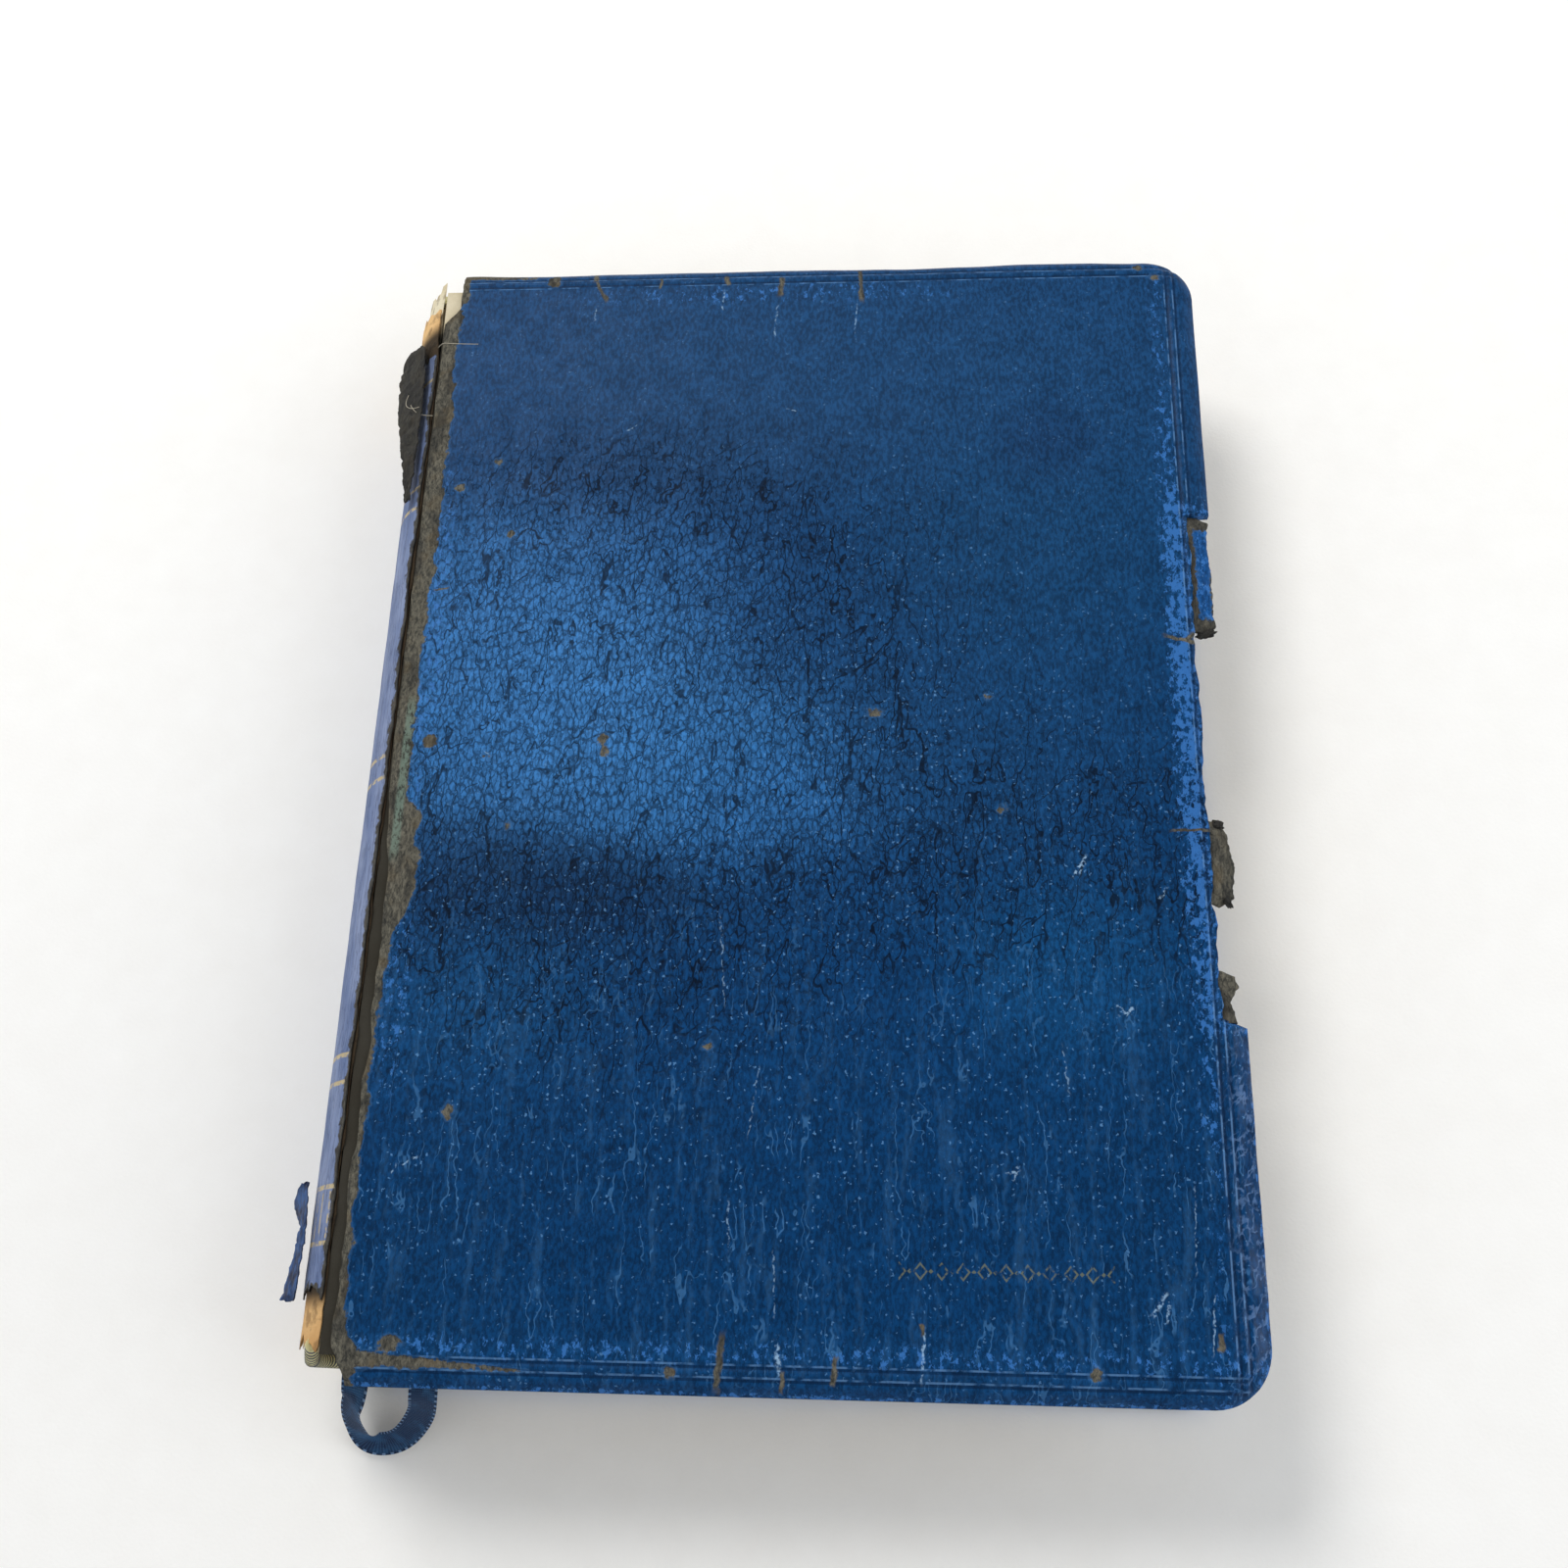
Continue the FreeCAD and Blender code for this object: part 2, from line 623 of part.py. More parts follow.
def is_node(item):
    """Finished pieces carry a Label that no other object builds on."""
    kinds = ("PartDesign::Body", "Part::Box", "Part::Common", "Part::Feature")
    return item.TypeId in kinds and item.Label == item.Name and "window" not in item.Name


doc.recompute()
for item in doc.Objects:
    if {"Invalid", "Error"} & set(item.State):
        raise ValueError(f"{item.Name} failed: {item.State}")

os.makedirs("parts", exist_ok=True)
nodes = [item for item in doc.Objects if is_node(item)]
for item in nodes:
    shape = item.Shape
    if shape.isNull() or not shape.isValid() or not shape.Solids:
        raise ValueError(f"{item.Label} has no valid shape")
    shape.exportStep(f"parts/{item.Label}.step")

low_x = min(item.Shape.BoundBox.XMin for item in nodes)
high_x = max(item.Shape.BoundBox.XMax for item in nodes)
print(len(nodes), "nodes; X from", round(low_x, 3), "to", round(high_x, 3), "thickness", value(TOTAL))
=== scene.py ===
# %% [markdown]
# # An old limp-bound notebook in navy leather
# The book lies on its back cover. Its two halves, its two covers and everything sewn or glued between
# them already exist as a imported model, and each piece made here goes where that model says. Loading the
# model first gives a fixed frame, in metres, in which nothing has to be fitted by eye.

import json
import random
from math import cos, exp, hypot, pi, radians, sin

import bmesh
import bpy
from mathutils import Euler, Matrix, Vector, noise
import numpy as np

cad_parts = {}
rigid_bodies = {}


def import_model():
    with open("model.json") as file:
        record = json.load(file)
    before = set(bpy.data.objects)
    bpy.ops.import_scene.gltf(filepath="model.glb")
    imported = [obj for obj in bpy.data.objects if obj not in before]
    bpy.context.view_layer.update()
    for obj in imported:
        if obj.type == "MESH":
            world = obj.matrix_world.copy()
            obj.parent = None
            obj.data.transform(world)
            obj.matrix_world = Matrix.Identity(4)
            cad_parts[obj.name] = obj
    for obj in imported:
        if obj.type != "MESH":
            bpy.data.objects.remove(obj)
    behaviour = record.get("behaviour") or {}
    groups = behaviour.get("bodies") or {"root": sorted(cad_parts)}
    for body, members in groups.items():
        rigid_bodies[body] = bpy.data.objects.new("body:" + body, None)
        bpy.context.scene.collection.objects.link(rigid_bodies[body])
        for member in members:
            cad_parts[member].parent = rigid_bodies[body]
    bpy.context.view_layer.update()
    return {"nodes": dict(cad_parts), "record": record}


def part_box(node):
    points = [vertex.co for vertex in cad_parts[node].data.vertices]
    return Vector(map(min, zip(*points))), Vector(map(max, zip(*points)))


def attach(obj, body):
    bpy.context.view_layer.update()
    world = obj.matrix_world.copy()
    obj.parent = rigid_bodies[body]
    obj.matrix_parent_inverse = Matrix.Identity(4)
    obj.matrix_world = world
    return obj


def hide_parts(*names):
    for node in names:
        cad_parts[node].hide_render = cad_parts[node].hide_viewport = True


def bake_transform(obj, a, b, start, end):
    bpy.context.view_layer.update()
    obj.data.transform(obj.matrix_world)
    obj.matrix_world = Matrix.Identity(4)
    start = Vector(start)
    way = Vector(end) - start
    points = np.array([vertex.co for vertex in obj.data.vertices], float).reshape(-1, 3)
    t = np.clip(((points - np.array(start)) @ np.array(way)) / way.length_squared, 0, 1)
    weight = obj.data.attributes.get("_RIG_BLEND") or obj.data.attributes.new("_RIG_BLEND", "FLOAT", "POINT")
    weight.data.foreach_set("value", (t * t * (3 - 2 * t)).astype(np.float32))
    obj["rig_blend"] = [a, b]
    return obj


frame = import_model()
MM = 0.001
print("nodes in the frame:", len(frame["nodes"]))

# %% [markdown]
# The places that many pieces share are read from the frame once. The covers give the joint edge, the
# fore-edge and the ends, and the spine layers are arcs about one line that runs up the book.

# %% Read the shared places


def box_mm(node):
    """A node's lowest and highest corners in millimetres."""
    low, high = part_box(node)
    return low / MM, high / MM


cover_low, cover_high = box_mm("front_cover_leather")
JOINT, FORE_EDGE = cover_low.x, cover_high.x
HALF_LENGTH, TOP = cover_high.y, cover_high.z
MIDDLE = TOP / 2
CORNER, RIM = 9.5, 4.6  # the fore-edge corners' radius, and how far in the skin is turned down
SPINE_OUT = 19.375  # the spine leather's outer radius
SPINE_X = box_mm("spine_leather")[0].x + SPINE_OUT
print("joint", round(JOINT, 2), "fore-edge", round(FORE_EDGE, 2), "spine centre", round(SPINE_X, 2))

# %% [markdown]
# ## Tools for shapes
# Every sheet in a book is a thin slab, so one tool makes them all: a grid from a bmesh operator, whose
# corners are moved by a formula, and then an extrusion that gives it a second face and its edges. The
# alternative, a Solidify modifier, can't give a rim that is thicker than the middle.

# %% Make a sheet from a grid


def steps(start, end, size):
    """Numbers from start to end, about size apart."""
    count = max(1, round(abs(end - start) / size))
    return [start + (end - start) * turn / count for turn in range(count + 1)]


def clamp(value, low=0.0, high=1.0):
    return max(low, min(high, value))


def table_value(rows, at):
    """A value read between the rows of a small table of (place, value)."""
    for (low, first), (high, second) in zip(rows, rows[1:]):
        if low <= at <= high:
            return first + (second - first) * (at - low) / (high - low)
    return rows[-1][1] if at > rows[-1][0] else rows[0][1]


def sheet_grid(columns, rows, place, marks=None):
    """A grid with a corner at place(column, row), in millimetres. marks(column, row) gives named numbers
    or colours that each corner keeps for its finish."""
    bm = bmesh.new()
    wide, long = len(columns) - 1, len(rows) - 1
    bmesh.ops.create_grid(bm, x_segments=wide, y_segments=long, size=1)
    layers = {}
    for name, example in (marks(columns[0], rows[0]) if marks else {}).items():
        kind = bm.verts.layers.float_color if isinstance(example, tuple) else bm.verts.layers.float
        layers[name] = kind.new(name)
    for corner in bm.verts:
        column = columns[round((corner.co.x + 1) / 2 * wide)]
        row = rows[round((corner.co.y + 1) / 2 * long)]
        corner.co = Vector(place(column, row)) * MM
        for name, number in (marks(column, row) if marks else {}).items():
            corner[layers[name]] = number
    return bm


def thicken(bm, sink):
    """Closes a grid into a slab. sink gives, for a point in millimetres, its partner on the far face."""
    made = bmesh.ops.extrude_face_region(bm, geom=bm.faces[:], use_keep_orig=True)
    for corner in made["geom"]:
        if isinstance(corner, bmesh.types.BMVert):
            corner.co = Vector(sink(corner.co / MM)) * MM
    bmesh.ops.recalc_face_normals(bm, faces=bm.faces[:])
    return bm


def thicken_evenly(bm, thickness):
    """Closes a curved sheet into a slab of one thickness, measured square to its surface."""
    bmesh.ops.solidify(bm, geom=bm.faces[:], thickness=thickness * MM)
    bmesh.ops.recalc_face_normals(bm, faces=bm.faces[:])
    return bm


def close_tube(bm):
    """Joins the two long edges of a grid that has been rolled up, and closes its ends."""
    bmesh.ops.remove_doubles(bm, verts=bm.verts[:], dist=1e-6)
    bmesh.ops.holes_fill(bm, edges=[edge for edge in bm.edges if edge.is_boundary], sides=0)
    bmesh.ops.recalc_face_normals(bm, faces=bm.faces[:])
    return bm


# %% [markdown]
# A finished mesh becomes a piece in one more step: it gets its material, smooth shading that stays crisp
# at real edges and the body that it moves with, and the solids that it stands for are hidden.

# %% Turn a mesh into a piece
CRISP = radians(38)


def make_object(name, bm, finish):
    mesh = bpy.data.meshes.new(name)
    bm.to_mesh(mesh)
    bm.free()
    mesh.shade_smooth()
    mesh.set_sharp_from_angle(angle=CRISP)
    mesh.materials.append(finish.material)
    made = bpy.data.objects.new(name, mesh)
    bpy.context.scene.collection.objects.link(made)
    return made


def keep(made, slot, *nodes):
    """Hides the solids that a piece stands for. slot is not used."""
    if nodes:
        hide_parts(*nodes)
    print(made.name, "has", len(made.data.polygons), "faces")
    return made


def riding(name, bm, finish, body, slot, *nodes):
    return keep(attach(make_object(name, bm, finish), body), slot, *nodes)


def bending(name, bm, finish, bodies, start, end, slot, *nodes):
    """A piece that bends from one body to another between two points in millimetres."""
    made = make_object(name, bm, finish)
    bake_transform(made, *bodies, start=Vector(start) * MM, end=Vector(end) * MM)
    return keep(made, slot, *nodes)


def rough(x, y, z=0.0, size=1.0, depth=3):
    """A smooth random number from about -1 to 1 that changes over size millimetres."""
    return noise.fractal(Vector((x, y, z)) / size, 0.9, 2.0, depth)


# %% [markdown]
# ## Tools for finishes
# A finish is a node tree, and most of it is arithmetic on distances. Wrapping a socket in a small class
# lets the arithmetic be written as Python sums, which are far easier to read and to change than chains
# of nodes made by hand.

# %% Wrap a socket


class Wire:
    """One output of one node. Sums of wires and numbers add Math nodes."""

    def __init__(self, finish, socket):
        self.finish, self.socket = finish, socket

    def sum(self, operation, first, second=0.0):
        return self.finish.node("Math", {"operation": operation}, {0: first, 1: second})

    def __add__(self, other):
        return self.sum("ADD", self, other)

    def __radd__(self, other):
        return self.sum("ADD", other, self)

    def __sub__(self, other):
        return self.sum("SUBTRACT", self, other)

    def __rsub__(self, other):
        return self.sum("SUBTRACT", other, self)

    def __mul__(self, other):
        return self.sum("MULTIPLY", self, other)

    def __rmul__(self, other):
        return self.sum("MULTIPLY", other, self)

    def __truediv__(self, other):
        return self.sum("DIVIDE", self, other)

    def __abs__(self):
        return self.sum("ABSOLUTE", self)

    def highest(self, other):
        return self.sum("MAXIMUM", self, other)

    def lowest(self, other):
        return self.sum("MINIMUM", self, other)


# %% [markdown]
# The finish itself holds the tree and its one shader. Numbers that are the same all over go straight
# onto the shader's sockets, and only what changes over the surface is linked. Distances in the patterns
# are in millimetres, because that is how leather grain and weave are measured.

# %% Build a finish


class Finish:
    def __init__(self, name, **constants):
        self.material = bpy.data.materials.new(name)
        self.material.use_nodes = True
        self.tree = self.material.node_tree
        self.shader = self.tree.nodes["Principled BSDF"]
        for socket, value in constants.items():
            self.shader.inputs[socket.replace("_", " ")].default_value = value
        place = self.node("TexCoord", {}, {}, "Object")
        self.place = self.vector("SCALE", place, Scale=1 / MM)

    def node(self, kind, settings, inputs, output=0):
        """Adds one node: its settings first, then the values or links of its sockets."""
        made = self.tree.nodes.new("ShaderNode" + kind)
        for name, setting in settings.items():
            setattr(made, name, setting)
        for socket, value in inputs.items():
            if isinstance(value, Wire):
                self.tree.links.new(value.socket, made.inputs[socket])
            else:
                made.inputs[socket].default_value = value
        return Wire(self, made.outputs[output])

    def vector(self, operation, first, second=None, output=0, **named):
        inputs = {0: first, **named}
        if second is not None:
            inputs[1] = second
        return self.node("VectorMath", {"operation": operation}, inputs, output)

    def stretched(self, by, place=None):
        return self.vector("MULTIPLY", place or self.place, by)

    def axis(self, number, place=None):
        return self.node("SeparateXYZ", {}, {0: place or self.place}, number)

    def cloud(self, size, detail=3.0, place=None, harshness=0.55):
        """Smooth random values about 0.5 whose lumps are size millimetres across."""
        sockets = {"Vector": place or self.place, "Scale": 1 / size, "Detail": detail, "Roughness": harshness}
        return self.node("TexNoise", {}, sockets)

    def shake(self, by, size, detail=3.0):
        """Smooth random values from about -by / 2 to by / 2."""
        return (self.cloud(size, detail) - 0.5) * by

    def wave(self, value, pitch):
        """A sine that repeats each time value has grown by pitch."""
        return self.node("Math", {"operation": "SINE"}, {0: value * (2 * pi / pitch)})

    def fraction(self, value):
        return self.node("Math", {"operation": "FRACT"}, {0: value})

    def warped(self, by, size, place=None):
        """The place, shaken by up to by millimetres over size millimetres."""
        place = place or self.place
        shake = self.node("TexNoise", {}, {"Vector": place, "Scale": 1 / size, "Detail": 2.0}, "Color")
        shake = self.vector("SUBTRACT", shake, (0.5, 0.5, 0.5))
        return self.vector("ADD", place, self.vector("SCALE", shake, Scale=2 * by))

    def rise(self, value, low, high):
        """0 below low, 1 above high and a smooth rise between them."""
        sockets = {0: value, 1: low, 2: high}
        return self.node("MapRange", {"interpolation_type": "SMOOTHSTEP"}, sockets)

    def mix(self, share, first, second):
        return self.node("Mix", {"data_type": "RGBA"}, {0: share, 6: first, 7: second}, 2)

    def attribute(self, name, output="Fac"):
        return self.node("Attribute", {"attribute_name": name}, {}, output)

    def paint(self, color=None, roughness=None, height=None, coat=None):
        """Links what changes over the surface to the shader. Heights are in millimetres."""
        links = {"Base Color": color, "Roughness": roughness, "Coat Weight": coat}
        if height is not None:
            sockets = {"Height": height, "Strength": 1.0, "Distance": MM}
            links["Normal"] = self.node("Bump", {}, sockets)
        for socket, wire in links.items():
            if wire is not None:
                self.tree.links.new(wire.socket, self.shader.inputs[socket])
        return self


def ink(red, green, blue):
    """A colour as a paint chart gives it, 0 to 255, turned into the light values that a shader uses."""
    chart = (red / 255, green / 255, blue / 255)
    light = [c / 12.92 if c <= 0.04045 else ((c + 0.055) / 1.055) ** 2.4 for c in chart]
    return (*light, 1.0)


# %% [markdown]
# ## Camera, light and floor
# The book is seen from above its tail, tilted a little, with a slightly wide lens, so that the tail
# looks wider than the head. A soft box high on one side and a weaker one opposite stand in for daylight.

# %% Place the camera
CAMERA_PLACE = (21.9, -108.5, 298.7)
CAMERA_TURN = (21.029, 3.855, 1.529)
LENS = 37.1

lens = bpy.data.cameras.new("camera")
lens.lens, lens.sensor_width = LENS, 36
lens.clip_start = 0.01
camera = bpy.data.objects.new("camera", lens)
camera.location = Vector(CAMERA_PLACE) * MM
camera.rotation_euler = Euler([radians(turn) for turn in CAMERA_TURN])
bpy.context.scene.collection.objects.link(camera)
bpy.context.scene.camera = camera

# %% Light the book
SKY = (0.72, 0.95, 0.78, 0.05)  # the heights between which the sky dims, and its brightness at each
scene = bpy.context.scene
scene.view_settings.view_transform = "Standard"
world = bpy.data.worlds.new("sky")
world.use_nodes = True
scene.world = world
sky = world.node_tree
height_of_sky = sky.nodes.new("ShaderNodeSeparateXYZ")
brightness = sky.nodes.new("ShaderNodeMapRange")
brightness.interpolation_type = "SMOOTHSTEP"
for socket, value in zip(("From Min", "From Max", "To Min", "To Max"), SKY):
    brightness.inputs[socket].default_value = value
direction = sky.nodes.new("ShaderNodeTexCoord")
sky.links.new(direction.outputs["Generated"], height_of_sky.inputs[0])
sky.links.new(height_of_sky.outputs["Z"], brightness.inputs["Value"])
sky.links.new(brightness.outputs["Result"], sky.nodes["Background"].inputs["Strength"])
sky.nodes["Background"].inputs["Color"].default_value = (0.93, 0.96, 1.0, 1.0)


def soft_box(name, place, size, power, tint):
    lamp = bpy.data.lights.new(name, "AREA")
    lamp.shape, lamp.size, lamp.energy, lamp.color = "DISK", size, power, tint
    made = bpy.data.objects.new(name, lamp)
    made.location = place
    made.rotation_euler = (-Vector(place)).to_track_quat("-Z", "Y").to_euler()
    bpy.context.scene.collection.objects.link(made)


soft_box("window", (-0.45, 0.75, 0.95), 0.55, 9.2, (1.0, 0.98, 0.95))
soft_box("bounce", (0.8, -0.1, 0.55), 0.8, 2.6, (0.95, 0.97, 1.0))

# %% Lay the floor
floor_finish = Finish("floor", Roughness=0.9)
floor_finish.paint(
    color=floor_finish.mix(floor_finish.cloud(9.0, 4.0), ink(246, 244, 240), ink(252, 251, 248)),
    height=floor_finish.cloud(0.6, 2.0) * 0.05,
)
bm = bmesh.new()
bmesh.ops.create_grid(bm, x_segments=1, y_segments=1, size=3.0)
make_object("floor", bm, floor_finish)

# %% [markdown]
# ## The ribbon
# A narrow satin ribbon lies between the middle pages, leaves the book at its tail, makes a loop that
# touches the table and goes back in, and its end lies between the pages too. The loop is limp, so its
# line is one smooth curve through few points. The flat band is a grid that follows the line, tilted so
# that the outside of the loop hangs lower than the inside.

# %% Weave the ribbon's finish


def ribbon_finish():
    """Satin: fine ribs across the band, a paler thread at each edge and faded patches."""
    finish = Finish("ribbon_satin", Specular_IOR_Level=0.15)
    across, along = finish.attribute("across"), finish.attribute("along")
    ribs, warps = finish.wave(along, 0.42), finish.wave(across, 0.3)
    edge = finish.rise(abs(across), 1.85, 2.15)
    dashes = edge * finish.rise(finish.wave(along, 1.05), 0.1, 0.6)
    faded = finish.rise(finish.cloud(3.2, 3.0), 0.42, 0.68)
    color = finish.mix(faded, ink(14, 38, 70), ink(34, 74, 112))
    color = finish.mix(finish.rise(ribs + warps * 0.6, 0.2, 1.3) * 0.4, color, ink(68, 110, 148))
    color = finish.mix(edge * 0.65, color, ink(10, 26, 54))
    color = finish.mix(dashes * 0.8, color, ink(120, 150, 186))
    return finish.paint(
        color=color,
        roughness=0.42 + finish.cloud(0.5) * 0.25,
        height=ribs * 0.025 + warps * 0.015 + dashes * 0.06,
    )


ribbon_satin = ribbon_finish()

# %% Hang the ribbon loop
RIBBON_WIDTH, RIBBON_THICKNESS = 4.8, 0.3
LOOP_LEAN = radians(38)
LOOP_ROUTE = [
    (-69.6, -103.0, 14.76), (-69.4, -108.8, 14.76), (-71.6, -112.6, 9.6), (-70.4, -117.3, 2.4),
    (-64.4, -116.9, 2.0), (-59.2, -112.2, 8.2), (-57.8, -108.8, 14.76), (-57.8, -103.0, 14.76),
]


def smooth_line(name, route):
    """The points of a NURBS line whose control points are the route, in millimetres."""
    curve = bpy.data.curves.new(name, "CURVE")
    curve.dimensions = "3D"
    curve.resolution_u = 12
    spline = curve.splines.new("NURBS")
    spline.points.add(len(route) - 1)
    for point, place in zip(spline.points, route):
        point.co = (*place, 1.0)
    spline.order_u = 3
    spline.use_endpoint_u = True
    holder = bpy.data.objects.new(name, curve)
    line = bpy.data.meshes.new_from_object(holder)
    points = [corner.co.copy() for corner in line.vertices]
    for leftover, home in ((line, bpy.data.meshes), (holder, bpy.data.objects), (curve, bpy.data.curves)):
        home.remove(leftover)
    return points


def ribbon_band(points, lean):
    """A grid along points, which keeps the distance along and across the band at each corner."""
    travelled = [0.0]
    for before, after in zip(points, points[1:]):
        travelled.append(travelled[-1] + (after - before).length)

    def place(side, number):
        before, after = points[max(0, number - 1)], points[min(len(points) - 1, number + 1)]
        ahead = (after - before).normalized()
        level = Vector((0, 0, 1)).cross(ahead).normalized()
        raised = ahead.cross(level)
        tilt = lean * max(0.0, sin(pi * travelled[number] / travelled[-1])) ** 1.5
        curl = 0.22 * (side / RIBBON_WIDTH * 2) ** 2
        return points[number] + (level * cos(tilt) + raised * sin(tilt)) * side + raised * curl

    def marks(side, number):
        return {"across": side, "along": travelled[number]}

    sides = steps(-RIBBON_WIDTH / 2, RIBBON_WIDTH / 2, 0.4)
    return sheet_grid(sides, list(range(len(points))), place, marks), travelled[-1]


loop_points = smooth_line("ribbon_line", LOOP_ROUTE)
bm, loop_length = ribbon_band(loop_points, LOOP_LEAN)
ribbon_loop = riding(
    "ribbon_loop_band", thicken_evenly(bm, RIBBON_THICKNESS), ribbon_satin, "rear_half",
    "ribbon", "ribbon_loop",
)
loop_length * MM
[point * MM for point in loop_points]
print("ribbon loop is", round(loop_length, 1), "mm long")

# %% Lay the ribbon between the pages


def flat_ribbon(name, node):
    """The part of the ribbon that lies between pages: a band as long and wide as its solid."""
    low, high = box_mm(node)
    middle = (low.x + high.x) / 2

    def place(side, y):
        return (middle + side, y, high.z - 0.02 + 0.02 * sin(y / 9))

    def marks(side, y):
        return {"across": side, "along": y - low.y}

    sides = steps(-RIBBON_WIDTH / 2, RIBBON_WIDTH / 2, 0.4)
    bm = sheet_grid(sides, steps(low.y, high.y, 2.0), place, marks)
    thickness = high.z - low.z - 0.06
    return riding(name, thicken_evenly(bm, thickness), ribbon_satin, "rear_half", "ribbon", node)


flat_ribbon("ribbon_marker_band", "ribbon_marker")
flat_ribbon("ribbon_end_band", "ribbon_end")

# %% [markdown]
# ## Navy leather
# The covers are thin dyed leather, worn for decades. What shows is a history: a broad pattern of faded
# and dark places, a fine net of cracks where the surface was flexed, pale rubbed flecks, scratches, and
# spots where the dyed skin is gone and the grey fibre shows. The broad pattern also holds painted light: a
# pale sheen in the middle of the left half and a haze at the head are reflections painted into the colour.
# The broad pattern is kept as colours and numbers on the mesh, where it can be placed by hand, and the finish
# breaks it up with noise.

# %% Place the fading and the painted sheen
BARE_STRIP = 5.0
DEEP = (7, 55, 99)
# Faded and dark patches of the dye, mixed with painted reflection: the palest blues are a painted sheen, and
# the tones near the head hold a painted haze as well as fading.
FADES_AND_SHEEN = [
    # across from the skin's edge, up from the tail, reach across, reach up, weight, colour
    (80, 192, 75, 24, 1.6, (27, 68, 109)), (16, 166, 18, 13, 1.6, (19, 57, 97)),
    (8, 190, 12, 12, 1.2, (22, 64, 107)), (112, 152, 26, 26, 1.4, (20, 65, 105)),
    (116, 174, 8, 7, 2.5, (18, 50, 88)), (60, 176, 22, 9, 1.2, (24, 62, 101)),
    # Most of the pale blues in the next three rows are painted sheen: a reflected window painted into the
    # colour.
    (28, 122, 20, 20, 7.0, (56, 116, 176)), (46, 108, 22, 13, 5.0, (48, 108, 166)),
    (12, 128, 14, 24, 5.0, (48, 106, 164)), (64, 99, 13, 9, 4.0, (42, 100, 158)),
    (36, 146, 18, 9, 1.6, (34, 84, 136)), (62, 132, 20, 12, 1.6, (22, 68, 114)),
    (18, 87, 15, 9, 3.4, (10, 46, 82)), (34, 84, 14, 7, 3.0, (9, 44, 80)),
    (70, 86, 18, 8, 1.8, (14, 62, 108)), (96, 112, 26, 20, 1.6, (20, 66, 110)),
    (115, 68, 13, 12, 2.2, (15, 72, 120)), (72, 60, 26, 20, 1.6, (8, 58, 104)),
    (16, 62, 16, 12, 1.6, (18, 70, 116)), (28, 42, 16, 8, 1.0, (10, 58, 102)),
    (70, 30, 60, 22, 2.2, (5, 52, 95)), (9, 22, 10, 16, 1.6, (9, 54, 95)),
    (70, 5, 80, 4, 1.2, (16, 62, 106)), (125, 30, 14, 30, 1.4, (8, 54, 96)),
]


def fading_and_sheen(u, v):
    """The leather's broad colour at a place, u from the skin's joint edge and v from the tail: faded and dark
    patches, with a painted sheen and haze.
    """
    total, mixed = 0.5, [0.5 * part for part in ink(*DEEP)]
    for across, up, reach_u, reach_v, weight, chart in FADES_AND_SHEEN:
        near = weight * exp(-(((u - across) / reach_u) ** 2) - ((v - up) / reach_v) ** 2)
        total += near
        mixed = [sum_ + near * part for sum_, part in zip(mixed, ink(*chart))]
    return (*[part / total for part in mixed[:3]], 1.0)


# %% Place the bare spots
JOINT_SKIN = [
    # up from the tail, where the dyed skin begins across the cover
    (0, 0.4), (2, 0.6), (6, 0.8), (8, -0.6), (14, -1.4), (30, -1.9), (44, -1.5), (60, -1.4), (74, -0.9),
    (78, 1.0), (82, 2.4), (88, 2.7), (92, 1.4), (95, 2.2), (97, 1.4), (99, -0.8), (118, -1.2), (140, -1.3),
    (168, -0.9), (172, -1.1), (200, -1.2), (206, -1.0), (210, -0.4), (216, -0.2),
]
BARE_SPOTS = [
    # across, up, half-width, half-height
    (6.6, 6.6, 2.0, 1.3), (2.2, 111.0, 1.5, 1.3), (34.0, 111.4, 1.1, 1.2), (34.6, 108.8, 1.0, 1.0),
    (9.6, 170.2, 0.9, 1.0), (2.4, 164.4, 1.0, 1.1), (18.0, 94.6, 1.0, 0.8), (13.0, 108.0, 0.7, 0.7),
    (13.4, 154.0, 0.8, 0.8), (52.0, 3.4, 0.9, 1.0), (118.6, 4.6, 1.0, 1.1), (17.2, 213.5, 1.3, 2.2),
    (83.5, 116.5, 1.4, 0.8), (106.0, 98.0, 0.9, 0.8), (55.8, 55.2, 1.0, 0.8), (104.0, 119.5, 0.7, 0.8),
    (135.5, 213.5, 0.9, 1.0), (138.5, 211.0, 0.9, 0.8), (12.2, 43.4, 1.0, 1.6),
]


TAIL_WEDGE, HEAD_STRIP = 30, 14  # how far a bare wedge at the tail and a strip at the head reach across
DEEPEST = 3.0  # bareness counts no further than this


def bareness(u, v):
    """How far inside a bare place a point is, in millimetres, and negative outside."""
    ragged = 0.9 * rough(u, v, 0, 4.0) + 0.5 * rough(u, v, 9, 1.6)
    deepest = table_value(JOINT_SKIN, v) - u + ragged
    if 0 <= u <= TAIL_WEDGE:
        wedge = 1.3 * (1 - u / TAIL_WEDGE) - abs(v - 4.2 + 0.04 * u) + 0.35 * ragged
        deepest = max(deepest, wedge)
    if u < HEAD_STRIP:
        strip = min(1 - u / HEAD_STRIP, v - (2 * HALF_LENGTH - 1.9)) + 0.3 * ragged
        deepest = max(deepest, strip)
    for across, up, half_width, half_height in BARE_SPOTS:
        away = hypot((u - across) / half_width, (v - up) / half_height)
        deepest = max(deepest, (1 - away) * min(half_width, half_height) + 0.25 * ragged * (away < 2))
    return clamp(deepest, -DEEPEST, DEEPEST)


# %% Place the cracking, rubbing and flecks


def hill(value, middle, reach):
    return exp(-(((value - middle) / reach) ** 2))


def leather_marks(tone, bare, cracked, rubbed, flecked, low=0.0, glossy=0.1):
    """What the leather's finish reads at each corner of a grid: a colour, a depth and five amounts."""
    return {
        "tone": tone, "bare": bare, "cracked": cracked, "rubbed": rubbed, "flecked": flecked,
        "low": low, "glossy": glossy,
    }


